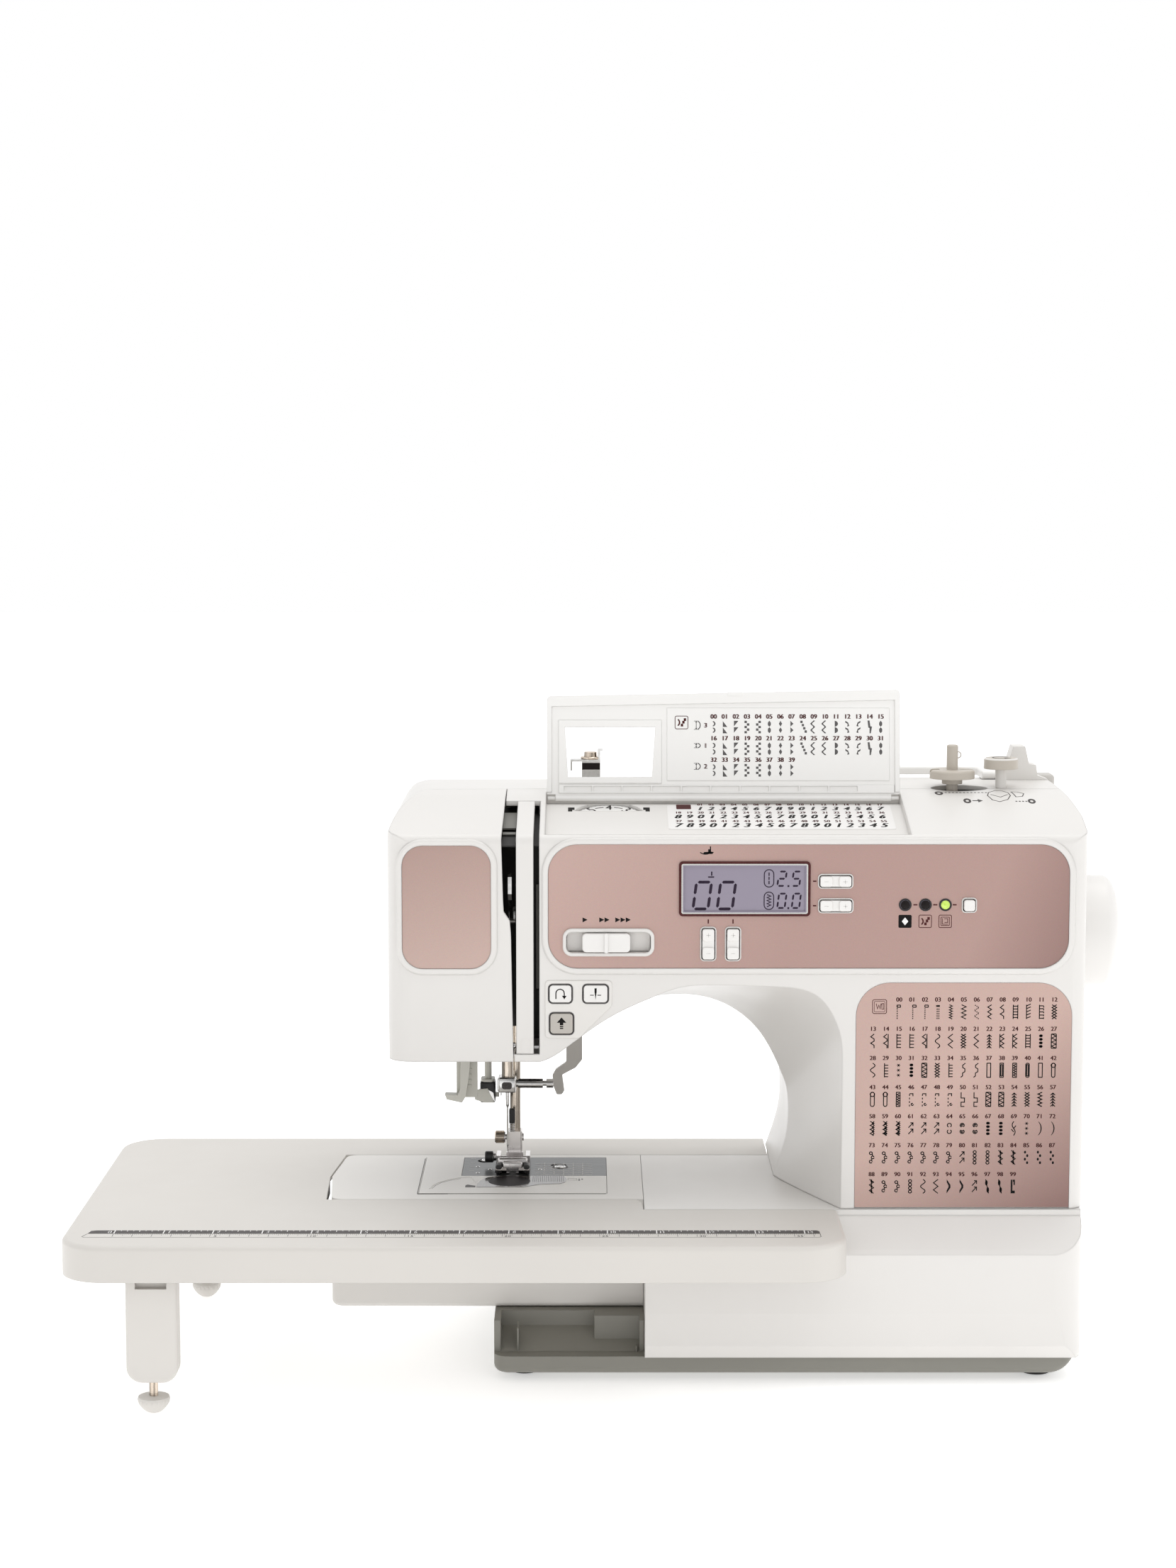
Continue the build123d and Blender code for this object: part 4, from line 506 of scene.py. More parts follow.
def lathe(g, origin, axis, prof, k=40):
    """Solid of revolution: prof is (distance along the axis, radius) from end to end, in millimetres."""
    ax = Vector(axis).normalized()
    ref = Vector((0, 0, 1)) if abs(ax.z) < 0.9 else Vector((1, 0, 0))
    u = ax.cross(ref).normalized()
    v = ax.cross(u)
    o = Vector(origin)
    V, F, rings = [], [], []
    for d, r in prof:
        if r <= 1e-6:
            q = o + ax * d
            rings.append([len(V)])
            V.append(M(q.x, q.y, q.z))
        else:
            idx = []
            for i in range(k):
                t = 2 * math.pi * i / k
                q = o + ax * d + u * (r * math.cos(t)) + v * (r * math.sin(t))
                idx.append(len(V))
                V.append(M(q.x, q.y, q.z))
            rings.append(idx)
    for A, B in zip(rings, rings[1:]):
        if len(A) == 1 and len(B) == 1:
            continue
        for i in range(k):
            j = (i + 1) % k
            if len(A) == 1:
                F.append((A[0], B[i], B[j]))
            elif len(B) == 1:
                F.append((A[i], A[j], B[0]))
            else:
                F.append((A[i], A[j], B[j], B[i]))
    if len(rings[0]) > 1:
        F.append(tuple(rings[0]))
    if len(rings[-1]) > 1:
        F.append(tuple(reversed(rings[-1])))
    g.add(V, F)


def tube(g, pts, r, k=10, closed=False):
    """Round wire through pts (millimetres)."""
    P = [Vector(p) for p in pts]
    n = len(P)
    V, F, rings = [], [], []
    prev = None
    for i in range(n):
        if closed:
            t = (P[(i + 1) % n] - P[i - 1]).normalized()
        else:
            t = (P[min(i + 1, n - 1)] - P[max(i - 1, 0)]).normalized()
        if prev is None:
            ref = Vector((0, 0, 1)) if abs(t.z) < 0.9 else Vector((1, 0, 0))
            u = t.cross(ref).normalized()
        else:
            u = (prev - t * prev.dot(t)).normalized()
        prev = u
        w = t.cross(u)
        idx = []
        for j in range(k):
            a = 2 * math.pi * j / k
            q = P[i] + u * (r * math.cos(a)) + w * (r * math.sin(a))
            idx.append(len(V))
            V.append(M(q.x, q.y, q.z))
        rings.append(idx)
    pairs = list(zip(rings, rings[1:])) + ([(rings[-1], rings[0])] if closed else [])
    for A, B in pairs:
        for j in range(k):
            l = (j + 1) % k
            F.append((A[j], A[l], B[l], B[j]))
    if not closed:
        F += [tuple(reversed(rings[0])), tuple(rings[-1])]
    g.add(V, F)


def smooth_pts(pts, n=8):
    """Catmull-Rom through pts."""
    P = [Vector(p) for p in pts]
    out = []
    for i in range(len(P) - 1):
        p0, p1, p2, p3 = P[max(i - 1, 0)], P[i], P[i + 1], P[min(i + 2, len(P) - 1)]
        for j in range(n):
            t = j / n
            out.append(0.5 * ((2 * p1) + (p2 - p0) * t + (2 * p0 - 5 * p1 + 4 * p2 - p3) * t * t + (3 * p1 - p0 - 3 * p2 + p3) * t ** 3))
    out.append(P[-1])
    return [tuple(p) for p in out]


def block(g, x0, x1, y0, y1, z0, z1, r=0.0, k=3):
    """Box with its edges rounded by r: a subdivided cube pushed on to a rounded box."""
    if r <= 0:
        V = [M(x, y, z) for x in (x0, x1) for y in (y0, y1) for z in (z0, z1)]
        g.add(V, [(0, 1, 3, 2), (4, 6, 7, 5), (0, 4, 5, 1), (2, 3, 7, 6), (0, 2, 6, 4), (1, 5, 7, 3)])
        return
    r = min(r, (x1 - x0) / 2 - 1e-3, (y1 - y0) / 2 - 1e-3, (z1 - z0) / 2 - 1e-3)
    cx, cy, cz = (x0 + x1) / 2, (y0 + y1) / 2, (z0 + z1) / 2
    hx, hy, hz = (x1 - x0) / 2 - r, (y1 - y0) / 2 - r, (z1 - z0) / 2 - r
    g2v, g2f = [], []
    lat = []
    for i in range(k + 1):
        lat.append((-90 + 90 * i / k, -1))
    for i in range(k + 1):
        lat.append((90 * i / k, 1))
    rings = []
    for la, sz in lat:
        cl, sl = math.cos(math.radians(la)), math.sin(math.radians(la))
        ring = []
        for qx, qy, a0 in ((1, 1, 0), (-1, 1, 90), (-1, -1, 180), (1, -1, 270)):
            for i in range(k + 1):
                a = math.radians(a0 + 90 * i / k)
                ring.append((cx + qx * hx + r * cl * math.cos(a), cy + qy * hy + r * cl * math.sin(a), cz + sz * hz + r * sl))
        rings.append(ring)
    n = len(rings[0])
    for ring in rings:
        g2v += [M(*q) for q in ring]
    for i in range(len(rings) - 1):
        for j in range(n):
            l = (j + 1) % n
            g2f.append((i * n + j, i * n + l, (i + 1) * n + l, (i + 1) * n + j))
    g2f.append(tuple(range(n - 1, -1, -1)))
    g2f.append(tuple(range((len(rings) - 1) * n, len(rings) * n)))
    g.add(g2v, g2f)


def paint(node, mat):
    o = NODES[node]
    o.data.materials.clear()
    o.data.materials.append(mat)
    for p in o.data.polygons:
        p.material_index = 0
    return o


# ------------------------------------------------------------------ carried-over nodes
PAINT = {
    "front_cover": WHITE, "face_cover": WHITE, "guide_strip": WHITE, "rear_cover": WHITE, "base_cover": WHITE, "free_arm_cover": WHITE2,
    "base_tray": TRAY_PAINTED_SHADE, "rubber_feet": RUBBER, "machine_frame": DARKIN, "needle_plate": PLATEM, "bobbin_cover": WHITE2,
    "control_panel": ROSE, "chart_panel": ROSE_C, "badge_panel": ROSE_B, "display_module": LCDBG, "panel_bezels": WHITE, "button_plate": WHITE2,
    "length_rocker": KEYW, "width_rocker": KEYW, "tens_rocker": KEYW, "units_rocker": KEYW, "mode_button": KEYW, "speed_knob": KEYW,
    "reverse_button": KEYW, "needle_button": KEYW, "start_button": GREYKEY, "wide_table": TABLEW, "leg_front": LEGW, "leg_rear": LEGW,
    "foot_front": LEGW, "foot_rear": LEGW, "top_lid": WHITE_LID_AND_PAINTED_LIGHT, "tension_dial": WHITE_LID_AND_PAINTED_LIGHT, "tension_unit": CHROME, "upper_shaft": STEELX,
    "lower_shaft": STEELX, "rotary_hook": CHROME, "bobbin_case": BLACKP, "drive_belts": RUBBER, "drive_motor": BLACKP, "motor_pulley": STEELX,
    "handwheel": WHEELW, "needle_bar": STEEL, "needle_clamp": CHROME, "needle": CHROME, "take_up_lever": CHROME, "presser_bar": STEEL,
    "foot_holder": FOOTM, "presser_foot": FOOTM, "lifter_lever": GREYP, "needle_threader": THREADP, "feed_dog": STEELX,
    "winder_spindle": BEIGE, "winder_stop": WHITE2, "pretension_guide": CHROME, "spool_pin": BEIGE, "carry_handle": WHITE_LID_AND_PAINTED_LIGHT,
    "power_inlet": BLACKP, "power_switch": BLACKP, "case_screws": SCREWM,
}
for n_, m_ in PAINT.items():
    paint(n_, m_)

# ------------------------------------------------------------------ stitch pictograms, in a cell 2 wide and 4 high
def zz(n, w, x=0.0, y0=-2.0, y1=2.0, start=1):
    return [(x + (w if (i % 2 == 0) == (start > 0) else -w), y0 + (y1 - y0) * i / n) for i in range(n + 1)]


def dash(x, y0, y1, n, duty=0.6):
    out = []
    step = (y1 - y0) / n
    for i in range(n):
        out.append([(x, y0 + step * i), (x, y0 + step * (i + duty))])
    return out


def scal(n, w, side=1, x=0.0):
    out = []
    for i in range(n):
        y0 = -2 + 4 * i / n
        h = 4 / n
        out += [(x + side * w * math.sin(math.pi * t / 6), y0 + h * t / 6) for t in range(6)]
    out.append((x, 2))
    return out


def wave(n, w, x=0.0):
    return [(x + w * math.sin(2 * math.pi * n * i / 28), -2 + 4 * i / 28) for i in range(29)]


def icon(i):
    """Strokes and filled shapes of pictogram i.  They are the ordinary stitch families: straight, zigzag, overlock, blanket,
    ladder, scallop, leaf, triangle, buttonhole."""
    S, Fl = [], []
    if i in (0, 1, 2):
        S += dash((-0.5, 0.2, 0.0)[i], -2, 1.2 if i else 2, 6)
        S.append(rrect((-0.1, 0.6, 0.4)[i], 1.6, 0.9, 0.6, 0.1, 2) + [rrect((-0.1, 0.6, 0.4)[i], 1.6, 0.9, 0.6, 0.1, 2)[0]])
    elif i == 3:
        S += dash(-0.2, -2, 1.2, 5) + dash(0.25, -2, 1.2, 5)
        Fl.append([(-0.5, 1.4), (0.5, 1.4), (0.5, 1.9), (-0.5, 1.9)])
    elif i in (4, 5, 7):
        S.append(zz((11, 7, 0, 6)[i - 4] if i != 7 else 6, (0.4, 0.6, 0, 0.7)[i - 4] if i != 7 else 0.5))
    elif i == 6:
        pts = zz(5, 0.6)
        for a, b in zip(pts, pts[1:]):
            for t in range(3):
                S.append([(a[0] + (b[0] - a[0]) * (t / 3 + 0.03), a[1] + (b[1] - a[1]) * (t / 3 + 0.03)), (a[0] + (b[0] - a[0]) * (t / 3 + 0.22), a[1] + (b[1] - a[1]) * (t / 3 + 0.22))])
    elif i in (8, 13, 14, 17):
        S.append([(0.3, -2), (0.3, -1.2), (-0.6, -0.6), (0.3, 0.0), (0.3, 0.6), (-0.6, 1.2), (0.3, 2)])
        if i in (14, 17):
            S.append([(0.6, -2), (0.6, 2)])
    elif i in (9, 25):
        S += [[(-0.6, -2), (-0.6, 2)], [(0.6, -2), (0.6, 2)]] + [[(-0.6, y), (0.6, y)] for y in (-1.6, -0.8, 0, 0.8, 1.6)]
    elif i in (10, 11, 15, 16):
        S += [[(-0.5, -2), (-0.5, 2)]] + [[(-0.5, y), (0.6, y + (0.5 if i == 10 else 0))] for y in (-1.8, -0.9, 0, 0.9, 1.7)]
        if i == 11:
            S += dash(0.6, -2, 2, 5)
    elif i in (12, 20, 33, 55):
        S += [zz(5, 0.6), zz(5, 0.6, start=-1)]
    elif i in (18, 28, 92):
        S.append(wave(1.5, 0.6))
    elif i in (19, 21, 93):
        S.append(zz(4, 0.6))
    elif i in (22, 54, 57):
        S += [[(-0.6, y), (0, y + 0.6), (0.6, y)] for y in (-2, -1.2, -0.4, 0.4, 1.2)] + [[(0, -2), (0, 1.8)]]
    elif i in (23, 24):
        S += [zz(6, 0.5), [(-0.6, -2), (-0.6, 2)]]
    elif i in (26, 31, 67, 68):
        for y in (-1.5, -0.5, 0.5, 1.5):
            S += [[(-0.5, y), (0.5, y)], [(0, y - 0.4), (0, y + 0.4)], [(-0.35, y - 0.3), (0.35, y + 0.3)], [(-0.35, y + 0.3), (0.35, y - 0.3)]]
    elif i in (27, 32, 52, 53):
        S += [rrect(0, 0, 1.3, 4, 0.1, 1) + [rrect(0, 0, 1.3, 4, 0.1, 1)[0]], zz(7, 0.6)]
    elif i in (29, 34):
        S += [[(-0.3, -2), (-0.3, 2)]] + [[(-0.3, y), (0.7, y)] for y in (-1.8, -1.0, -0.2, 0.6, 1.4)]
    elif i in (30, 70):
        for y in (-1.4, 0, 1.4):
            Fl.append([(0.6 * math.cos(a) * (1 if k % 2 == 0 else 0.35), y + 0.6 * math.sin(a) * (1 if k % 2 == 0 else 0.35)) for k, a in enumerate([math.pi * 2 * t / 12 for t in range(12)])])
    elif i in (35, 36):
        S.append([(-0.6, -2), (-0.1, -1.6), (-0.1, -0.8), (0.5, -0.4), (0.5, 0.4), (-0.1, 0.8), (-0.1, 1.4), (0.6, 2)])
    elif 37 <= i <= 45:
        w_, r_ = (0.9, 1.0)[i % 2], (0.05, 0.05, 0.05, 0.4, 0.05, 0.45, 0.45, 0.45, 0.05)[i - 37]
        q = rrect(0, 0, w_, 4, r_, 3)
        S.append(q + [q[0]])
        if i in (39, 45):
            S.append(zz(10, 0.3, y0=-1.7, y1=1.7))
        elif i in (38, 40):
            q = rrect(0, 0, w_ * 0.45, 3.2, 0.05, 1)
            S.append(q + [q[0]])
        elif i in (42, 43, 44):
            q = circle(0, 1.4, 0.6, 10)
            S.append(q + [q[0]])
    elif 46 <= i <= 49:
        S += dash(-0.4, -2, 2, 4, 0.5) + [[(-0.4, 1.6), (0.5, 1.6), (0.5, 0.9)], arc(0.35, -1.4, 0.3, 60, 360, 8)]
    elif i in (50, 51):
        S += [[(0.5, -2), (-0.4, -2), (-0.4, -0.8), (0.5, -0.8), (0.5, 0.4), (-0.4, 0.4), (-0.4, 2)]]
    elif i == 56:
        S += [zz(8, 0.6), zz(8, 0.3)]
    elif i in (58, 59, 60):
        S += [zz(7, 0.5), zz(7, 0.25, x=0.3, start=-1)]
        if i > 58:
            Fl += [[(-0.5, y - 0.3), (0.5, y - 0.3), (0, y + 0.3)] for y in (-1.3, 0, 1.3)]
    elif i in (61, 62, 63, 80, 96):
        S += [[(-0.6, -1.6), (0.6, -0.2)], [(-0.6, 0.2), (0.6, 1.6)], [(0.6, -1.2), (0.6, -0.2), (-0.1, -0.2)], [(0.6, 0.7), (0.6, 1.6), (-0.1, 1.6)]]
    elif i in (64, 65, 66):
        S += [arc(0, 0.9, 0.55, -60, 250, 12), arc(0, -0.9, 0.55, 120, 420, 12)]
        if i > 64:
            S.append(arc(0, 0.9, 0.25, 0, 330, 8))
            S.append(arc(0, -0.9, 0.25, 0, 330, 8))
    elif i == 69:
        S += [wave(1, 0.4), [(0, 0), (0.6, 0.8)], [(0, -1), (-0.6, -0.2)]]
    elif i in (71, 72, 94, 95):
        sg = 1
        out = arc(-1.9 * sg, 0, 2.5, -50, 50, 12, 2.6)
        inn = arc(-1.6 * sg, 0, 1.9, 48, -48, 12, 2.5)
        if i in (94, 95):
            out, inn = [(-0.5, -2), (0.5, -0.4), (0.5, 0.4), (-0.5, 2)], [(-0.5, 1.2), (0.0, 0.2), (0.0, -0.2), (-0.5, -1.2)]
        Fl.append(out + inn)
    elif i in (73, 74, 75, 76, 77, 78, 79, 89, 90):
        S += [arc(-0.25, 1.2, 0.4, 0, 330, 8), arc(0.25, 0, 0.4, 20, 350, 8), arc(-0.25, -1.2, 0.4, 0, 330, 8), [(0.1, 1.2), (0.2, 0.4)], [(0.1, -0.4), (-0.1, -0.8)]]
    elif i in (81, 82, 91):
        for y in (-1.5, -0.5, 0.5, 1.5):
            q = circle(0, y, 0.42, 9)
            S.append(q + [q[0]])
    elif i in (83, 84, 88):
        S += [zz(5, 0.55), [(0, -2), (0, 2)]]
        Fl += [[(-0.25, y - 0.25), (0.25, y - 0.25), (0.25, y + 0.25), (-0.25, y + 0.25)] for y in (-1.4, 0, 1.4)]
    elif i in (85, 86, 87):
        for k in range(4):
            x = -0.3 if k % 2 else 0.3
            Fl.append(circle(x, -1.5 + k, 0.3, 8, 0.42))
    elif i in (97, 98):
        Fl += [circle(-0.2, 1.0, 0.35, 10, 0.8), circle(0.2, -1.0, 0.35, 10, 0.8)]
        S.append([(0.4, -2), (-0.4, 2)])
    elif i == 99:
        Fl.append([(-0.55, -2), (0.55, -2), (0.55, -1.2), (-0.1, -1.2), (-0.1, 1.9), (-0.55, 1.9)])
        Fl.append([(0.0, 1.9), (0.55, 1.9), (0.55, 0.4), (0.2, 0.4), (0.2, 1.3), (0.0, 1.3)])
    else:
        S.append(zz(6, 0.5))
    return S, Fl


def draw_icon(g, pl, i, a, b, w, h, lw, t0, t1):
    S, Fl = icon(i)
    for st in S:
        stroke(g, pl, [(a + x * w / 2, b + y * h / 4) for x, y in st], lw, t0, t1)
    for fl in Fl:
        prism(g, pl, [(a + x * w / 2, b + y * h / 4) for x, y in fl], t0, t1)


# the decorative set on the lid: filled satin shapes
def satin(i):
    k = i % 16
    Fl = []
    if k == 0:
        for y in (-1, 1):
            o = arc(-0.55, y, 1.0, -60, 60, 8, 0.95)
            n = arc(-0.75, y, 0.85, 60, -60, 8, 0.75)
            Fl.append(o + n)
    elif k in (1, 2):
        for y in (-2, 0):
            Fl.append([(-0.5, y), (0.6, y), (-0.5, y + 1.8)] if k == 1 else [(-0.5, y + 0.2), (-0.5, y + 1.9), (0.6, y + 1.9)])
    elif k in (3, 4):
        sg = 1 if k == 3 else -1
        for q in range(5):
            x = (-0.35 if q % 2 == 0 else 0.25) * sg
            y = -2 + 0.8 * q
            Fl.append([(x - 0.3, y), (x + 0.3, y), (x + 0.3, y + 0.72), (x - 0.3, y + 0.72)])
    elif k in (5, 15):
        for y in (-1, 1):
            Fl.append([(0, y - 0.95), (0.35, y - 0.45), (0.38, y + 0.3), (0, y + 0.95), (-0.38, y + 0.3), (-0.35, y - 0.45)])
    elif k == 6:
        for y in (-1, 1):
            Fl.append([(0, y - 0.9), (0.4, y), (0, y + 0.9), (-0.4, y)])
    elif k == 7:
        for y in (-1, 1):
            Fl.append([(-0.3, y - 0.9), (0.45, y), (-0.3, y + 0.9)])
    elif k == 8:
        for q in range(4):
            x, y = -0.6 + 0.35 * q, 1.2 - 1.0 * q
            Fl.append([(x, y), (x + 0.55, y), (x + 0.55, y + 0.75), (x, y + 0.75)])
    elif k in (9, 10):
        o = [(-0.1 + 0.35 * math.cos(math.pi * t / 5), -2 + 4 * t / 20) for t in range(21)]
        n = [(x - 0.42, y) for x, y in reversed(o)]
        Fl.append(o + n)
    elif k == 11:
        for y in (-1, 1):
            Fl.append([(-0.35, y - 0.95)] + arc(-0.35, y, 0.8, -80, 80, 6, 0.9) + [(-0.35, y + 0.95)])
    elif k in (12, 13):
        sg = 1 if k == 12 else -1
        for y in (-1, 1):
            Fl.append([(-0.5 * sg, y + 0.9), (0.2 * sg, y + 0.4), (0.5 * sg, y - 0.7), (0.0, y - 0.9), (0.1 * sg, y - 0.1), (-0.5 * sg, y + 0.4)])
    else:
        Fl.append([(-0.5, 2), (0.0, 2), (0.2, 0.2), (0.6, 0.1), (0.3, -2), (0.0, -2), (0.0, -0.3), (-0.3, -0.2)])
    return Fl


# ------------------------------------------------------------------ chart panel print
PX = 1.0 / 2.7125 / 1.0  # one picture unit of the chart grid at the panel's distance, in mm


def build_chart():
    num, icn = Geo(), Geo()
    pl = front(0.1)
    t0, t1 = 0.005, 0.05
    rows = [list(range(0, 13)), list(range(13, 28)), list(range(28, 43)), list(range(43, 58)), list(range(58, 73)), list(range(73, 88)), list(range(88, 100))]
    x0, dx = 150.5, 6.82
    z0, dz = 203.4, 15.66
    for r, row in enumerate(rows):
        for c, k in enumerate(row):
            col = c + (2 if r == 0 else 0)
            x, z = x0 + dx * col, z0 - dz * r
            text(num, pl, "%02d" % k, x, z, 2.2, t0, t1, bold=0.12)
            draw_icon(icn, pl, k, x, z - 6.6, 4.0, 7.6, 0.5, t0, t1)
    q = rrect(153.8, 199.6, 7.4, 7.4, 0.9)
    stroke(num, pl, q, 0.35, t0, t1, closed=True)
    stroke(num, pl, rrect(153.8, 199.6, 5.6, 5.6, 0.5), 0.22, t0, t1, closed=True)
    stroke(num, pl, [(152.0, 201.2), (152.7, 198.4), (153.4, 200.4), (154.1, 198.4), (154.6, 201.2)], 0.4, t0, t1)
    stroke(num, pl, [(155.0, 201.2), (156.0, 201.2), (156.0, 198.2), (155.0, 198.2), (155.0, 201.2)], 0.3, t0, t1)
    num.obj("chart_numbers", MAROON, "machine", "rose")
    icn.obj("chart_pictograms", INKB, "machine", "rose")


build_chart()


# ------------------------------------------------------------------ lid print
def build_lid():
    pl = lid(-1.6)
    num, icn, boxg = Geo(), Geo(), Geo()
    t0, t1 = 0.005, 0.05
    x0, dx = 68.4, 6.06
    for k in range(40):
        r, c = divmod(k, 16)
        b = (44.37, 32.52, 20.82)[r]
        a = x0 + dx * c
        text(num, pl, "%02d" % k, a, b, 2.35, t0, t1, bold=0.2)
        for fl in satin(k):
            prism(icn, pl, [(a + x * 2.2, b - 5.7 + y * 1.75) for x, y in fl], t0, t1)
    for j, (b, ch, hh) in enumerate(((39.6, "3", 4.6), (28.5, "1", 2.4), (17.2, "2", 3.4))):
        text(num, pl, ch, 64.0, b, 2.4, t0, t1, bold=0.24)
        stroke(icn, pl, arc(59.2, b, 1.9, -70, 70, 8, hh / 2), 0.5, t0, t1)
        stroke(icn, pl, [(58.9, b - hh / 2), (58.9, b + hh / 2)], 0.32, t0, t1)
        for s in (-1, 1):
            stroke(icn, pl, [(57.6, b + s * hh / 2), (60.2, b + s * hh / 2)], 0.26, t0, t1)
            prism(icn, pl, [(58.3, b + s * (hh / 2 - 0.8)), (58.9, b + s * (hh / 2 - 0.05)), (59.5, b + s * (hh / 2 - 0.8))], t0, t1)
    stroke(boxg, pl, rrect(50.9, 41.1, 7.0, 7.0, 0.9), 0.35, t0, t1, closed=True)
    prism(boxg, pl, arc(48.3, 41.1, 1.9, -60, 60, 8, 2.2) + arc(47.9, 41.1, 1.5, 60, -60, 8, 1.8), t0, t1)
    for x, z in ((51.2, 39.6), (52.0, 41.2), (52.8, 42.6)):
        prism(boxg, pl, [(x - 0.7, z - 0.7), (x + 0.6, z - 0.7), (x + 0.6, z + 0.8), (x - 0.7, z + 0.8)], t0, t1)
    num.obj("lid_numbers", MAROON, "lid_body", "cover")
    icn.obj("lid_pictograms", INKG, "lid_body", "cover")
    boxg.obj("lid_mode_icon", MAROON, "lid_body", "cover")


build_lid()


# ------------------------------------------------------------------ card and dial marks on the sloping top
def build_slope():
    pl = slope(-3.1)
    num, mk, card = Geo(), Geo(), Geo()
    prism(card, pl, rrect(103.4, 37.3, 121.0, 36.0, 1.5), 0.0, 0.12)
    card.obj("pattern_card", CARDW, "machine", "cover")
    pl = slope(-2.98)
    t0, t1 = 0.004, 0.05
    # numbers over large single digits, three rows, printed small at the hinge end and larger towards the user
    rows = [(52.5, 1, 17, 2, 2.6), (40.4, 18, 19, 0, 2.8), (27.6, 37, 19, 0, 3.0)]
    for b, first, count, off, h in rows:
        for c in range(count):
            a = 48.6 + 6.1 * (c + off)
            text(num, pl, "%02d" % (first + c), a, b + 3.6, h * 1.0, t0, t1, bold=0.14, sx=0.78)
            k = first + c
            ch = str(k % 10)
            text(mk, pl, ch, a, b - 2.4, h * 1.85, t0, t1, shear=0.25, bold=0.34, sx=0.86)
    prism(num, pl, rrect(51.8, 52.6, 8.0, 7.0, 0.6), t0, t1)
    num.obj("card_numbers", MAROON, "machine", "cover")
    mk.obj("card_digits", INKB, "machine", "cover")
    # stepped end marks beside the dial
    pl = slope(-3.09)
    d = Geo()
    for s in (-1, 1):
        cx = 11.3 + s * 20.2
        prism(d, pl, [(cx + s * 1.9, 52.0), (cx + s * 1.9, 46.0), (cx - s * 0.4, 46.0), (cx - s * 0.4, 48.4), (cx - s * 1.6, 48.4), (cx - s * 1.6, 52.0)], t0, t1)
    d.obj("dial_end_marks", INKB, "machine", "cover")
    # dial numerals ride on the dial: its centre is 41.25 along the slope
    yc = (43.0 - 3.0) / c_
    plate = slope(-3.1 - 1.59)
    dn = Geo()
    for ang, ch in ((40, "5"), (0, "4"), (-40, "3"), (80, "6"), (-80, "2"), (120, "7"), (-120, "1"), (160, "8"), (-160, "0")):
        a = math.radians(ang)
        cx, cy = 11.3 - 14.9 * math.sin(a), yc + 14.9 * math.cos(a)
        u = Vector((math.cos(a), math.sin(a) * c_, math.sin(a) * s_))
        o = plate.o + plate.u * cx + plate.v * cy
        v = Vector((-math.sin(a), math.cos(a) * c_, math.cos(a) * s_))
        q = Pl(o, u, v)
        text(dn, q, ch, 0, 0, 6.4, 0.004, 0.05, bold=0.16, sx=0.72)
    for k in range(8):
        a0 = 90 + 40 * (k - 4) + 11
        stroke(dn, plate, arc(11.3, yc, 15.2, a0, a0 + 18, 6), 0.75, 0.004, 0.05)
    dn.obj("dial_numerals", INKD, "dial_body", "key")


build_slope()


# ------------------------------------------------------------------ control panel print, display, key signs
SEG = {"0": "abcdef", "1": "bc", "2": "abged", "3": "abgcd", "4": "fgbc", "5": "afgcd", "6": "afgedc", "7": "abc", "8": "abcdefg", "9": "abcfgd"}


def seven(g, pl, ch, a, b, w, h, lw, t0, t1, shear=0.13):
    def q(x, y):
        return (a + x + shear * y, b + y)

    hw, hh, gp = w / 2, h / 2, lw * 0.42
    seg = {
        "a": ((-hw, hh), (hw, hh)), "g": ((-hw, 0), (hw, 0)), "d": ((-hw, -hh), (hw, -hh)),
        "f": ((-hw, 0), (-hw, hh)), "b": ((hw, 0), (hw, hh)), "e": ((-hw, -hh), (-hw, 0)), "c": ((hw, -hh), (hw, 0)),
    }
    for s in SEG[ch]:
        (xa, ya), (xb, yb) = seg[s]
        if ya == yb:
            P = [(xa + gp, ya), (xa + gp + lw / 2, ya + lw / 2), (xb - gp - lw / 2, ya + lw / 2), (xb - gp, ya), (xb - gp - lw / 2, ya - lw / 2), (xa + gp + lw / 2, ya - lw / 2)]
        else:
            P = [(xa, ya + gp), (xa + lw / 2, ya + gp + lw / 2), (xa + lw / 2, yb - gp - lw / 2), (xa, yb - gp), (xa - lw / 2, yb - gp - lw / 2), (xa - lw / 2, ya + gp + lw / 2)]
        prism(g, pl, [q(x, y) for x, y in P], t0, t1)


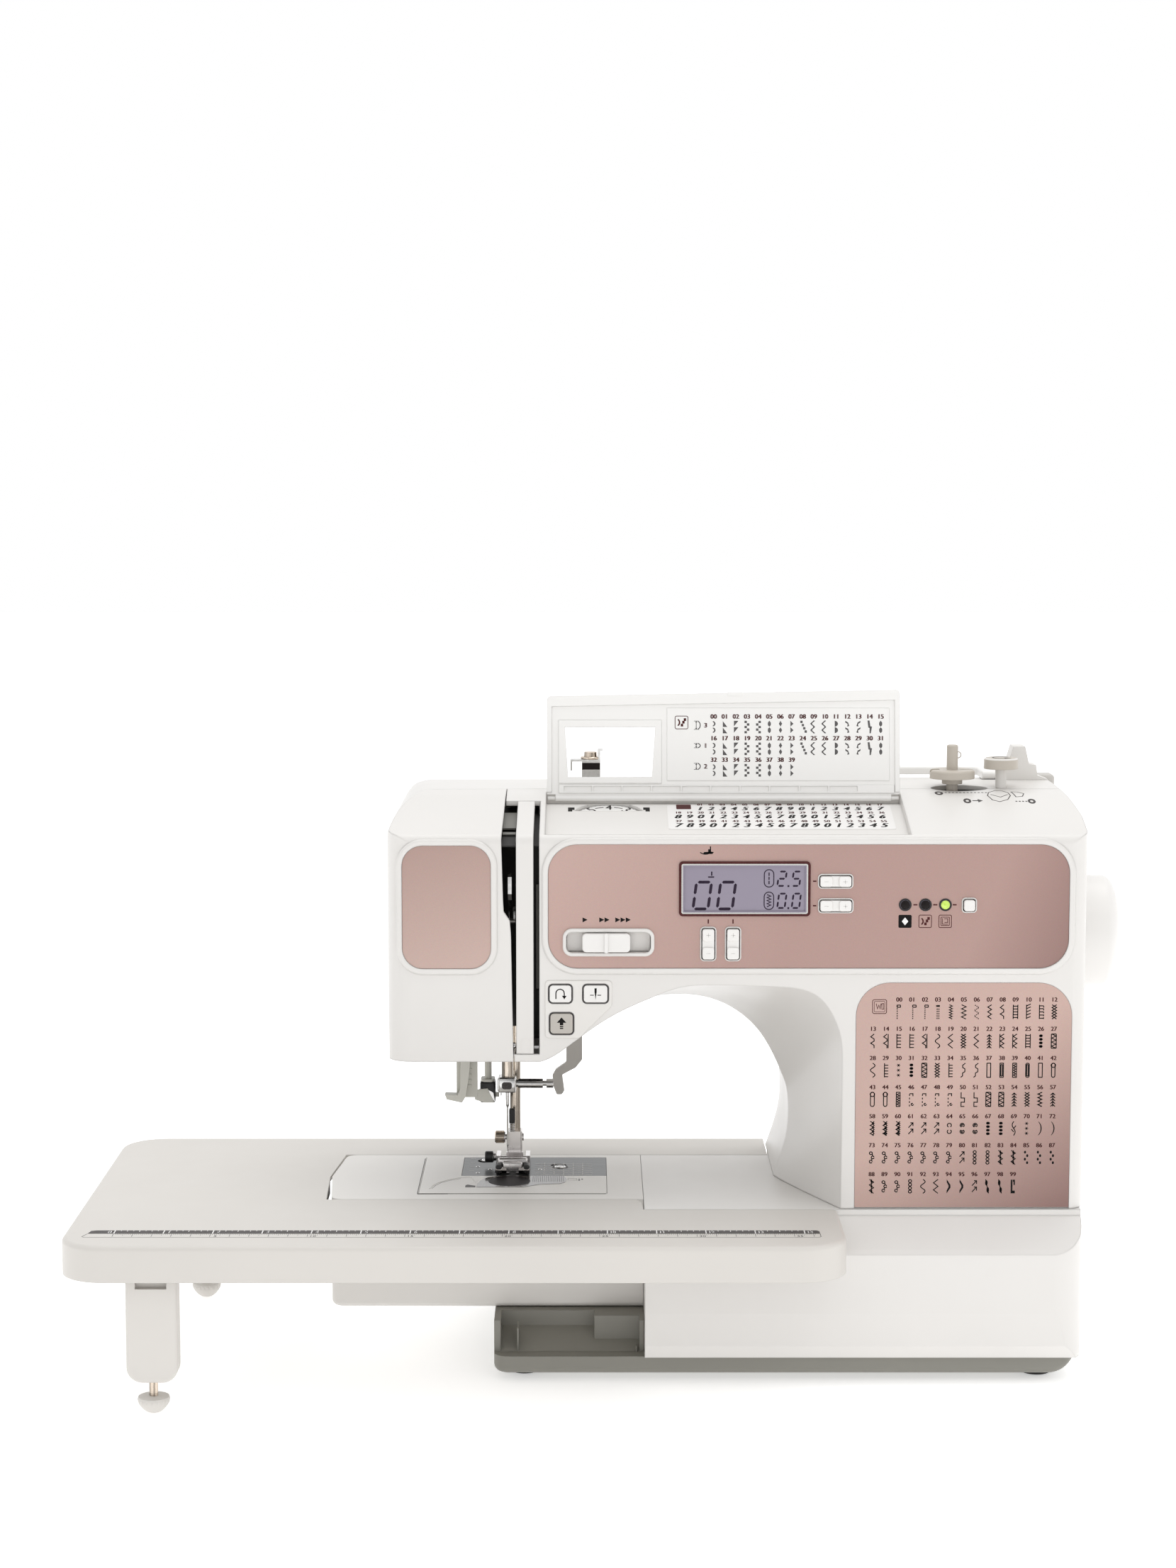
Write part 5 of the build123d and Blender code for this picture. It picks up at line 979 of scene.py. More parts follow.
def build_display():
    pl = front(-0.75)
    t0, t1 = 0.004, 0.05
    s = Geo()
    for a in (60.0, 72.7):
        seven(s, pl, "0", a, 258.9, 7.9, 14.2, 1.5, t0, t1)
    stroke(s, pl, [(63.0, 268.7), (66.2, 268.7)], 0.7, t0, t1)
    stroke(s, pl, [(64.9, 269.4), (64.9, 271.6)], 0.7, t0, t1)
    for b, st in ((267.8, "25"), (256.1, "00")):
        seven(s, pl, st[0], 101.8, b, 3.9, 7.6, 0.95, t0, t1)
        seven(s, pl, st[1], 109.4, b, 3.9, 7.6, 0.95, t0, t1)
        prism(s, pl, rrect(105.2, b - 3.9, 1.0, 1.0, 0.1), t0, t1)
    for b in (268.0, 256.1):
        stroke(s, pl, rrect(95.0, b, 5.0, 9.2, 2.4), 0.5, t0, t1, closed=True)
    for y0, y1 in ((264.9, 266.7), (267.2, 268.8), (269.3, 271.1)):
        stroke(s, pl, [(95.0, y0), (95.0, y1)], 0.6, t0, t1)
    stroke(s, pl, [(95.0 + (1.0 if k % 2 else -1.0), 253.0 + 6.4 * k / 8) for k in range(9)], 0.5, t0, t1)
    s.obj("display_segments", LCDINK, "machine", "display")
    # frame: maroon outer line, silver inner line
    f1, f2 = Geo(), Geo()
    pl2 = front(-1.5)
    ring_prism(f1, pl2, rrect(82.25, 262.5, 69.0, 29.0, 2.0), rrect(82.25, 262.5, 66.4, 26.5, 1.0), -0.6, 0.14)
    ring_prism(f2, pl2, rrect(82.25, 262.5, 66.5, 26.6, 1.0), rrect(82.25, 262.5, 65.0, 25.1, 0.5), -0.6, 0.06)
    f1.obj("display_outline", MAROON, "machine", "bezel")
    f2.obj("display_rim", SCREWM, "machine", "bright")


build_display()


def build_panel_print():
    pl = front(-0.8)
    t0, t1 = 0.004, 0.05
    g, d = Geo(), Geo()
    # presser foot pictogram over the display
    stroke(g, pl, arc(61.6, 283.0, 3.4, 215, 300, 6, 2.2), 0.5, t0, t1)
    prism(g, pl, [(60.4, 280.9), (65.2, 280.9), (66.0, 281.9), (64.4, 282.2), (60.8, 281.9)], t0, t1)
    prism(g, pl, [(63.0, 281.5), (64.5, 281.5), (64.5, 284.9), (63.9, 284.9), (63.9, 283.4), (63.0, 283.4)], t0, t1)
    # speed arrows
    for x0, n in ((-1.6, 1), (7.2, 2), (15.6, 3)):
        for k in range(n):
            x = x0 + 2.75 * k
            prism(g, pl, [(x - 1.25, 244.7), (x - 1.25, 247.3), (x + 1.35, 246.0)], t0, t1)
    # dashes between display and keys
    for z in (266.5, 253.5):
        stroke(d, pl, [(118.1, z), (119.9, z)], 0.7, t0, t1)
    for x in (63.2, 76.2):
        stroke(d, pl, [(x, 246.3), (x, 244.0)], 0.7, t0, t1)
    for x0, x1 in ((170.9, 173.0), (181.3, 183.5), (191.5, 193.6)):
        stroke(d, pl, [(x0, 254.0), (x1, 254.0)], 0.7, t0, t1)
    # mode pictograms under the lamps
    prism(g, pl, rrect(166.6, 245.2, 6.9, 6.9, 0.7), t0, t1)
    for x in (177.2, 187.7):
        stroke(d, pl, rrect(x, 245.2, 6.6, 6.6, 0.7), 0.36, t0, t1, closed=True)
    prism(d, pl, arc(174.6, 245.2, 1.9, -60, 60, 8, 2.1) + arc(174.2, 245.2, 1.5, 60, -60, 8, 1.7), t0, t1)
    for x, z in ((177.4, 243.8), (178.2, 245.4), (179.0, 246.7)):
        prism(d, pl, [(x - 0.7, z - 0.7), (x + 0.6, z - 0.7), (x + 0.6, z + 0.8), (x - 0.7, z + 0.8)], t0, t1)
    stroke(d, pl, rrect(187.7, 245.2, 4.4, 4.4, 0.3), 0.3, t0, t1, closed=True)
    stroke(d, pl, [(186.2, 246.8), (186.2, 243.7), (189.2, 243.7)], 0.3, t0, t1)
    stroke(d, pl, [(187.2, 246.6), (189.0, 246.6), (189.0, 244.6), (187.4, 244.6)], 0.3, t0, t1)
    g.obj("panel_marks_black", INKB, "machine", "rose")
    d.obj("panel_marks_maroon", MAROON, "machine", "rose")
    w = Geo()
    prism(w, pl, [(164.9, 245.2), (166.6, 247.3), (168.3, 245.2), (166.6, 243.1)], 0.06, 0.1)
    w.obj("panel_marks_light", INKW, "machine", "rose")
    # lamps: domes over the display module's lenses, with a black seat ring
    for k, x in enumerate((166.6, 177.2, 187.7)):
        q = Geo()
        lathe(q, (x, -1.25, 254.0), (0, -1, 0), [(0, 2.35), (0.35, 2.3), (0.75, 1.9), (1.0, 1.1), (1.1, 0.0)], 24)
        q.obj("lamp_%d" % k, LIT if k == 2 else LAMP, "machine", "display", smooth=True, angle=60)
        r = Geo()
        ring_prism(r, front(-0.8), circle(x, 254.0, 3.35, 32), circle(x, 254.0, 2.6, 32), 0.0, 0.3)
        r.obj("lamp_ring_%d" % k, BLACKP, "machine", "bezel")


build_panel_print()


def build_key_signs():
    for nm, (x0, x1, z0, z1), body in (("length", (121.3, 138.6, 263.2, 269.8), "length_body"), ("width", (121.4, 138.8, 250.2, 256.9), "width_body"),
                                       ("tens", (59.6, 66.9, 224.7, 241.8), "tens_body"), ("units", (72.6, 79.9, 224.7, 241.8), "units_body")):
        g = Geo()
        pl = front(-3.1)
        if x1 - x0 > z1 - z0:
            cz = (z0 + z1) / 2
            cells = [(x0 + 3.7, cz, 0), (x1 - 3.7, cz, 1)]
        else:
            cx = (x0 + x1) / 2
            cells = [(cx, z0 + 3.7, 0), (cx, z1 - 3.7, 1)]
        for a, b, plus in cells:
            stroke(g, pl, [(a - 1.1, b), (a + 1.1, b)], 0.32, 0.002, 0.03)
            if plus:
                stroke(g, pl, [(a, b - 1.1), (a, b + 1.1)], 0.32, 0.002, 0.03)
        g.obj("sign_" + nm, INKL, body, "key")


build_key_signs()


def build_button_signs():
    # reverse: a U-turn arrow with stitches
    pl = front(-1.6)
    g = Geo()
    cx, cz = -14.5, 206.6
    stroke(g, pl, [(cx - 2.4, cz - 2.6), (cx - 2.4, cz + 0.4)] + arc(cx - 0.2, cz + 0.4, 2.2, 180, 0, 8) + [(cx + 2.0, cz - 1.0)], 0.55, 0.002, 0.05)
    prism(g, pl, [(cx + 0.8, cz - 0.9), (cx + 3.2, cz - 0.9), (cx + 2.0, cz - 2.8)], 0.002, 0.05)
    g.obj("sign_reverse", INKB, "reverse_body", "key")
    g = Geo()
    cx, cz = 4.0, 206.6
    stroke(g, pl, [(cx, cz + 3.1), (cx, cz + 0.9)], 1.1, 0.002, 0.05)
    prism(g, pl, [(cx - 0.5, cz + 0.9), (cx + 0.5, cz + 0.9), (cx, cz - 3.0)], 0.002, 0.05)
    for s in (-1, 1):
        stroke(g, pl, [(cx + 1.0 * s, cz - 0.6), (cx + 2.9 * s, cz - 0.6)], 0.4, 0.002, 0.05)
    g.obj("sign_needle", INKB, "needle_button_body", "key")
    g = Geo()
    cx, cz = -13.95, 190.7
    prism(g, pl, [(cx - 2.5, cz + 0.6), (cx, cz + 3.4), (cx + 2.5, cz + 0.6), (cx + 0.9, cz + 0.6), (cx + 0.9, cz - 0.7), (cx - 0.9, cz - 0.7), (cx - 0.9, cz + 0.6)], 0.002, 0.05)
    for z in (-1.4, -2.4):
        prism(g, pl, [(cx - 0.9, cz + z - 0.3), (cx + 0.9, cz + z - 0.3), (cx + 0.9, cz + z + 0.3), (cx - 0.9, cz + z + 0.3)], 0.002, 0.05)
    g.obj("sign_start", INKB, "start_body", "greykey")
    # dark seats round the buttons
    o = Geo()
    for x0, x1, z0, z1 in ((-20.4, -8.6, 201.9, 211.3), (-2.4, 10.4, 201.9, 211.3), (-20.0, -7.9, 185.2, 196.2)):
        ring_prism(o, front(-0.7), rrect((x0 + x1) / 2, (z0 + z1) / 2, x1 - x0 + 1.5, z1 - z0 + 1.5, 2.6), rrect((x0 + x1) / 2, (z0 + z1) / 2, x1 - x0 + 0.5, z1 - z0 + 0.5, 2.1), -0.2, 0.12)
    o.obj("button_outlines", INKG, "machine", "bezel")


build_button_signs()


# ------------------------------------------------------------------ ruler on the extension table
def build_ruler():
    pl = top(BED)
    dark, lite, grey = Geo(), Geo(), Geo()
    t0, t1 = 0.01, 0.05
    y0, ym, y1 = -58.2, -51.2, -44.6
    xl, xr, zero = -258.0, 118.0, -244.0
    # dark inch band with a slanted left end
    prism(dark, pl, [(xl + 4.4, y1), (xl + 1.6, y1 - 1.0), (xl + 0.6, ym), (xr + 1.4, ym), (xr + 1.4, y1 - 1.6), (xr, y1)], t0, t1)
    # light centimetre band with outline
    stroke(grey, pl, [(xl + 0.6, ym), (xl - 1.4, y0 + 1.2), (xl - 0.4, y0), (xr + 0.4, y0), (xr + 1.4, y0 + 1.0), (xr + 1.4, ym)], 0.35, t0, t1)
    for k in range(0, 14 * 8 + 7):
        x = zero + 25.4 * k / 8
        if x > xr - 0.5:
            break
        ln = 4.6 if k % 8 == 0 else 3.0 if k % 4 == 0 else 2.2 if k % 2 == 0 else 1.5
        stroke(lite, pl, [(x, y1 - 0.1), (x, y1 - ln * (1.4 if k % 8 == 0 else 1.0))], 0.3 if k % 8 else 0.6, 0.055, 0.08)
    for k in range(1, 15):
        text(lite, pl, str(k), zero + 25.4 * k + 2.8, y1 - 3.4, 3.7, 0.055, 0.08, bold=0.12, sx=0.6)
    text(lite, pl, "0", zero - 2.4, y1 - 3.4, 4.4, 0.055, 0.08, bold=0.12, sx=0.6)
    for k in range(0, 362):
        x = zero + k
        if x > xr - 0.5:
            break
        ln = 5.6 if k % 10 == 0 else 3.6 if k % 5 == 0 else 2.0
        stroke(grey, pl, [(x, ym - 0.1), (x, ym - ln)], 0.16 if k % 10 else 0.26, t0, t1)
    for k in range(5, 36, 5):
        text(grey, pl, str(k), zero + 10 * k + 2.8, y0 + 2.4, 3.4, t0, t1, sx=0.7)
    dark.obj("ruler_inch_band", INKD, "table_body", "table")
    lite.obj("ruler_inch_marks", INKW, "table_body", "table")
    grey.obj("ruler_centimetres", INKG, "table_body", "table")


build_ruler()

# ------------------------------------------------------------------ fine parts laid on or beside the carried-over nodes
from mathutils.bvhtree import BVHTree


def drape(g, names, way):
    """Moves a print built on a plane outside the casing on to the casing's surface, along Z or along Y."""
    trees = []
    for n in names:
        me = NODES[n].data
        trees.append(BVHTree.FromPolygons([v.co.copy() for v in me.vertices], [tuple(p.vertices) for p in me.polygons]))
    found, missed = [], []
    for i, v in enumerate(g.v):
        best = None
        for t in trees:
            if way == "z":
                hit = t.ray_cast(Vector((v.x, v.y, 0.345)), Vector((0, 0, -1)))[0]
                if hit is not None and (best is None or hit.z > best):
                    best = hit.z
            else:
                hit = t.ray_cast(Vector((v.x, -0.30, v.z)), Vector((0, 1, 0)))[0]
                if hit is not None and (best is None or hit.y < best):
                    best = hit.y
        if best is None:
            missed.append(i)
            continue
        found.append((v.copy(), best))
        if way == "z":
            g.v[i] = Vector((v.x, v.y, best + v.z - 0.330))
        else:
            g.v[i] = Vector((v.x, best + v.y - M(0, -30, 0).y, v.z))
    for i in missed:
        v = g.v[i]
        best = min(found, key=lambda q: (q[0] - v).length)[1]
        g.v[i] = Vector((v.x, v.y, best + v.z - 0.330)) if way == "z" else Vector((v.x, best + v.y - M(0, -30, 0).y, v.z))


def fine(pts, step=1.2, closed=False):
    q, n = [], len(pts)
    for i in range(n if closed else n - 1):
        a, b = pts[i], pts[(i + 1) % n]
        m = max(1, int(math.dist(a, b) / step))
        for j in range(m):
            q.append((a[0] + (b[0] - a[0]) * j / m, a[1] + (b[1] - a[1]) * j / m))
    if not closed:
        q.append(pts[-1])
    return q


def coil(cx, cy, cz, axis, length, r, turns, n=14):
    pts = []
    for i in range(int(turns * n) + 1):
        a, d = 2 * math.pi * i / n, length * i / (turns * n)
        if axis == "x":
            pts.append((cx + d, cy + r * math.cos(a), cz + r * math.sin(a)))
        else:
            pts.append((cx + r * math.cos(a), cy + r * math.sin(a), cz + d))
    return pts


def build_winder_marks():
    g, pl = Geo(), top(330)
    for x, y, r in ((191.3, 65.0, 2.3), (205.2, 52.0, 2.1), (240.0, 51.4, 2.1)):
        ring_prism(g, pl, circle(x, y, r, 20, r * 1.7), circle(x, y, r * 0.42, 20, r * 0.7), 0.01, 0.07)
    n = 12
    for k in range(n):
        x0 = 194.6 + 24.0 * k / n
        stroke(g, pl, [(x0, 66.0), (x0 + 1.1, 66.2)], 1.1, 0.01, 0.07)
    stroke(g, pl, [(208.0, 52.2), (211.0, 52.2)], 1.0, 0.01, 0.07)
    prism(g, pl, [(211.0, 54.6), (211.0, 49.8), (213.6, 52.2)], 0.01, 0.07)
    for pts in ([(217.2, 60.0), (218.6, 66.6), (222.4, 71.0), (226.4, 70.6), (229.0, 66.0), (229.6, 60.0), (227.4, 54.0), (222.6, 50.8), (219.0, 53.4)],
                [(231.0, 68.0), (234.6, 67.6), (237.4, 63.8), (236.0, 58.8), (232.4, 58.0)]):
        stroke(g, pl, fine(pts, 1.2, True), 0.5, 0.01, 0.07, closed=True)
    stroke(g, pl, fine([(219.0, 62.0), (224.0, 57.6), (228.4, 62.0)]), 0.45, 0.01, 0.07)
    for k in range(4):
        stroke(g, pl, [(231.2 + 1.8 * k, 51.4), (232.2 + 1.8 * k, 51.4)], 1.1, 0.01, 0.07)
    drape(g, ("front_cover", "rear_cover"), "z")
    g.obj("winding_path_print", INKD, "machine", "cover")


build_winder_marks()


def build_strip_marks():
    g, pl = Geo(), front(-30)
    ring_prism(g, pl, rrect(-32.9, 178.6, 5.4, 8.2, 2.3), rrect(-32.9, 178.6, 4.6, 7.4, 2.0), 0.0, 0.08)
    drape(g, ("guide_strip",), "y")
    g.obj("strip_step_numbers", EMBOSS, "machine", "cover")


build_strip_marks()


def build_slots():
    g = Geo()
    pl = slope(-6.0)
    prism(g, pl, [(-45.6, 3.0), (-38.2, 3.0), (-38.2, 60.0), (-45.6, 60.0)], -0.8, 0.0)
    prism(g, pl, [(-31.5, 3.0), (-24.5, 3.0), (-24.5, 60.0), (-31.5, 60.0)], -0.8, 0.0)
    block(g, -60.0, -25.0, 69.4, 70.2, 176.0, 286.0)
    block(g, -30.6, -24.6, 24.0, 25.0, 178.0, 282.0)
    g.obj("slot_back_plates", DARKIN, "machine", "dark")
    h = Geo()
    prism(h, slope(-4.2), [(-45.4, 24.0), (-38.4, 24.0), (-38.4, 47.0), (-45.4, 47.0)], -0.9, 0.0)
    prism(h, slope(-5.0), [(-45.4, 17.0), (-38.4, 17.0), (-38.4, 20.0), (-45.4, 20.0)], -0.6, 0.0)
    block(h, -27.6, -26.2, 18.0, 19.2, 206.0, 262.0, 0.3)
    block(h, -45.6, -43.4, 62.0, 64.0, 178.0, 232.0, 0.4)
    h.obj("slot_guards", INNERG, "machine", "dark")
    k = Geo()
    tube(k, [(-45.6, 7.0, 177.4), (-38.4, 7.0, 177.4)], 1.3, 14)
    tube(k, [(-30.6, 7.0, 176.4), (-26.0, 7.0, 176.4)], 1.1, 14)
    k.obj("slot_thread_guides", CHROME, "machine", "bright", smooth=True)


build_slots()


def build_plate():
    pl = top(BED)
    lite, dark, chrome = Geo(), Geo(), Geo()
    t0, t1 = 0.01, 0.05
    for y in (101.8, 96.4, 91.2, 86.2, 81.2, 76.6):
        stroke(lite, pl, [(-29.5, y), (2.3, y)], 0.7, t0, t1)
    for x in (-24.4, -19.0, -13.6, -8.3, -3.0):
        stroke(lite, pl, [(x, 104.4), (x, 75.6)], 0.3, t0, t1)
    for y in (115.0, 105.2, 95.4, 85.6):
        stroke(lite, pl, [(-66.4, y), (-64.0, y)], 0.5, t0, t1)
    lite.obj("plate_seam_lines", INKL, "machine", "steel")
    for x, y, r in ((-15.65, 95.0, 4.4), (-57.3, 111.5, 4.4)):
        lathe(dark, (x, y, BED + 0.06), (0, 0, 1), [(0, 0), (0, r), (0.04, r), (0.04, 0)], 32)
        lathe(chrome, (x, y, BED + 0.10), (0, 0, 1), [(0, 0), (0, r * 0.74), (0.3, r * 0.68), (0.5, r * 0.4), (0.55, 0)], 32)
        block(dark, x - r * 0.5, x + r * 0.5, y - 0.45, y + 0.45, BED + 0.5, BED + 0.68)
    for x, y in ((-54.9, 88.9), (-61.5, 80.5), (-26.9, 89.0), (-62.0, 95.6)):
        lathe(chrome, (x, y, BED + 0.01), (0, 0, 1), [(0, 0), (0, 1.25), (0.12, 1.1), (0.14, 0)], 20)
        lathe(dark, (x, y, BED + 0.15), (0, 0, 1), [(0, 0), (0, 0.62), (0.03, 0.62), (0.03, 0)], 16)
    dark.obj("plate_holes", INKD, "machine", "steel")
    chrome.obj("plate_screws", CHROME, "machine", "bright", smooth=True)
    # marks moulded in the plastic to the left of the steel
    g = Geo()
    for pts in ([(-87.6, 112.9), (-87.8, 96.1)], [(-77.1, 112.9), (-77.5, 96.1)], [(-87.5, 97.7), (-77.2, 97.7)], [(-87.6, 106.5), (-86.6, 106.5)], [(-78.3, 106.5), (-77.2, 106.5)]):
        stroke(g, pl, pts, 0.3, t0, t1)
    g.obj("plate_frame_marks", INKL, "machine", "cover")
    g = Geo()
    stroke(g, pl, [(-92.6, 115.0), (-92.6, 33.0)], 0.42, t0, t1)
    stroke(g, pl, [(-92.6, 33.0), (9.8, 33.0)], 1.0, t0, t1)
    stroke(g, pl, [(-92.6, 32.6), (-76.0, 32.9)], 1.3, t0, t1)
    g.obj("plate_frame_gap", INKD, "machine", "cover")
    # bobbin cover: filled recess, smoked window with ribs, bobbin showing through as a painted shadow disc, moulded arc
    # and catch
    b = "bobbin_cover_body"
    fill = Geo()
    prism(fill, top(90.2), [(-66.4, 52.5), (-60.95, 60.9), (-47.95, 69.4), (-30.0, 71.4), (-6.05, 71.4), (-2.1, 67.5), (-4.1, 62.6), (-16.05, 60.6), (-27.05, 51.1), (-59.9, 50.6)], 0.0, 0.51)
    fill.obj("bobbin_cover_inlay", WHITE2, b, "cover")
    win = Geo()
    wp = [(-61.1, 47.2), (-60.7, 56.0), (-59.0, 63.2), (-55.6, 69.4), (-51.0, 72.2), (-46.0, 73.1), (-16.0, 73.1), (-13.2, 71.6), (-12.0, 68.0), (-11.9, 63.6), (-12.8, 58.0), (-15.6, 54.8), (-26.4, 53.9), (-30.6, 50.6), (-35.1, 47.2)]
    prism(win, top(90.71), wp, 0.0, 0.16)
    win.obj("bobbin_window", SMOKE, b, "dark")
    bob = Geo()
    prism(bob, top(90.87), circle(-43.4, 60.8, 11.6, 40, 11.4), 0.0, 0.03)
    bob.obj("bobbin_shadow", LAMP, b, "dark")
    rib = Geo()
    for k in range(17):
        x = -30.4 + 1.05 * k
        stroke(rib, top(90.87), [(x, 59.0 + (0.0 if k % 2 else 0.6)), (x, 72.6)], 0.22, 0.0, 0.05)
    rib.obj("bobbin_window_ribs", INKG, b, "dark")
    arcg = Geo()
    stroke(arcg, top(90.71), [(-86.5, 43.9), (-85.4, 50.6), (-82.6, 57.6), (-77.0, 64.6), (-71.0, 69.0), (-66.1, 70.7), (-63.8, 67.9), (-61.9, 58.0)], 0.7, 0.0, 0.22)
    arcg.obj("bobbin_cover_arc", EMBOSS, b, "cover")
    mk = Geo()
    stroke(mk, top(90.71), [(-85.2, 44.2), (-83.6, 51.2), (-80.6, 57.8), (-75.6, 63.2), (-70.4, 67.0)], 0.25, 0.0, 0.04)
    prism(mk, top(90.71), [(-67.2, 51.6), (-66.1, 53.2), (-61.7, 50.4), (-61.6, 47.2), (-67.2, 47.2)], 0.0, 0.05)
    stroke(mk, top(90.71), rrect(-8.6, 65.6, 4.9, 3.4, 0.3), 0.18, 0.0, 0.04, closed=True)
    for x, y in ((-4.9, 65.8), (-3.3, 65.8), (-4.9, 63.0)):
        prism(mk, top(90.71), rrect(x, y, 0.9, 1.7, 0.1), 0.0, 0.04)
    mk.obj("bobbin_cover_marks", INKG, b, "cover")


build_plate()


def build_foot_parts():
    g = Geo()
    lathe(g, (-52.4, 99.0, 107.0), (1, 0, 0), [(0, 0), (0, 2.9), (0.5, 3.42), (5.2, 3.42), (5.6, 3.0), (5.6, 0)], 32)
    for k in range(24):
        a = 2 * math.pi * k / 24
        tube(g, [(-51.8, 99.0 + 3.42 * math.cos(a), 107.0 + 3.42 * math.sin(a)), (-47.3, 99.0 + 3.42 * math.cos(a), 107.0 + 3.42 * math.sin(a))], 0.1, 6)
    g.obj("thumb_screw_knurl", BRONZE, "presser_body", "bright", smooth=True)
    g = Geo()
    block(g, -44.3, -41.0, 92.9, 96.6, 116.0, 124.0, 0.5)
    g.obj("shank_black_block", BLACKP, "presser_body", "dark")
    g = Geo()
    tube(g, coil(-42.7, 94.9, 111.2, "z", 4.8, 1.4, 5), 0.28, 8)
    g.obj("shank_spring", CHROME, "presser_body", "bright", smooth=True, angle=60)
    g = Geo()
    lathe(g, (-58.0, 96.0, 96.2), (1, 0, 0), [(0, 0), (0, 2.5), (0.5, 3.2), (4.4, 3.2), (4.8, 2.6), (4.8, 0)], 32)
    block(g, -51.5, -47.8, 74.6, 81.6, 91.35, 96.4, 1.2)
    block(g, -36.0, -32.5, 74.6, 81.6, 91.35, 96.4, 1.2)
    g.obj("foot_black_parts", BLACKP, "foot_body", "dark", smooth=True)
    g = Geo()
    tube(g, coil(-53.4, 96.0, 96.2, "x", 1.8, 1.95, 3), 0.3, 8)
    block(g, -47.4, -36.5, 75.8, 81.4, 92.3, 97.6, 0.7)
    block(g, -50.4, -33.6, 81.0, 84.6, 93.6, 98.8, 1.2)
    g.obj("foot_bright_parts", FOOTM, "foot_body", "bright", smooth=True)


build_foot_parts()


def build_clamp():
    g = Geo()
    block(g, -49.8, -40.2, 82.4, 84.4, 135.6, 144.2, 0.9)
    g.obj("clamp_face", CHROME, "needle_body", "bright", smooth=True)
    g = Geo()
    prism(g, front(82.4), rrect(-45.2, 139.7, 5.6, 4.0, 1.4), 0.0, 0.1)
    g.obj("clamp_recess", INKD, "needle_body", "dark")


build_clamp()


def build_threader():
    g = Geo()
    block(g, -60.4, -51.8, 89.9, 100.3, 128.3, 140.4, 1.2)
    g.obj("threader_black_head", BLACKP, "threader_body", "dark", smooth=True)
    g = Geo()
    prism(g, front(89.9), [(-62.4, 129.6), (-60.9, 134.6), (-58.6, 136.2), (-57.0, 133.2), (-55.6, 135.9), (-53.0, 134.4), (-52.0, 129.2), (-54.4, 131.8), (-55.6, 133.1), (-57.0, 130.6), (-58.5, 132.4), (-60.2, 130.6)], 0.02, 0.9)
    g.obj("threader_hook", CHROME, "threader_body", "bright")


build_threader()


def build_top_parts():
    g = Geo()
    lathe(g, (227.0, 80.0, 317.7), (0, 0, 1), [(0, 0), (0, 9.3), (5.0, 9.3), (5.9, 8.4), (6.0, 0)], 40)
    g.obj("stopper_head", BEIGE, "machine", "cover", smooth=True)
    g, pl = Geo(), top(323.7)
    stroke(g, pl, arc(227.0, 80.0, 4.6, 30, 300, 12, 4.6), 0.8, 0.01, 0.07)
    prism(g, pl, [(228.4, 74.0), (232.0, 76.2), (228.6, 78.4)], 0.01, 0.07)
    g.obj("stopper_arrow", INKG, "machine", "cover")
    g = Geo()
    block(g, 252.0, 261.4, 110.0, 124.0, 304.0, 311.0, 1.8)
    g.obj("handle_end_cap", GREYP, "machine", "cover", smooth=True)
    g = Geo()
    lathe(g, (1.4, 111.2, 319.8), (0, 0, 1), [(0, 0), (0, 5.15), (0.4, 5.5), (1.0, 5.5), (1.5, 5.1), (1.5, 3.6), (3.9, 3.5), (4.1, 3.0), (4.1, 0)], 36)
    g.obj("pretension_discs", BRONZE, "machine", "bright", smooth=True)
    # black sheet on the front of the chrome pretension plate: painted dark reflection
    g = Geo()
    prism(g, front(107.98), rrect(1.7, 316.0, 10.0, 3.8, 0.1), 0.0, 0.08)
    g.obj("pretension_plate_painted_reflection", LAMP, "machine", "dark")


build_top_parts()


def build_table_parts():
    # dark strip under the table's cut-out beside the free arm: painted shade, so the gap looks dark rather than showing
    # the floor
    g = Geo()
    prism(g, top(80.0), [(-146.0, 23.0), (-141.0, 23.0), (-141.6, 40.0), (-143.4, 62.0), (-143.6, 76.0), (-146.0, 76.0)], 0.0, 7.2)
    g.obj("arm_gap_painted_shade", DARKIN, "table_body", "dark")
    g = Geo()
    lathe(g, (-223.0, -62.0, 8.75), (0, 0, 1), [(0, 2.203), (0, 2.225), (20.0, 2.225), (20.0, 2.203)], 32)
    for k in range(8):
        lathe(g, (-223.0, -62.0, 9.2 + 0.95 * k), (0, 0, 1), [(0, 2.21), (0.2, 2.25), (0.45, 2.21)], 32)
    g.obj("front_foot_thread", BRONZE, "foot_front_body", "bright", smooth=True)


build_table_parts()


# ------------------------------------------------------------------ camera, lights, floor
scene = bpy.context.scene
cam_d = bpy.data.cameras.new("camera")
cam = bpy.data.objects.new("camera", cam_d)
scene.collection.objects.link(cam)
cam.location = (-0.0105, -1.598, 0.48583)
cam.rotation_euler = (math.radians(90 - 6.18), 0, 0)
cam_d.sensor_width = 36.0
cam_d.lens = 68.53
cam_d.clip_start, cam_d.clip_end = 0.05, 50
scene.camera = cam

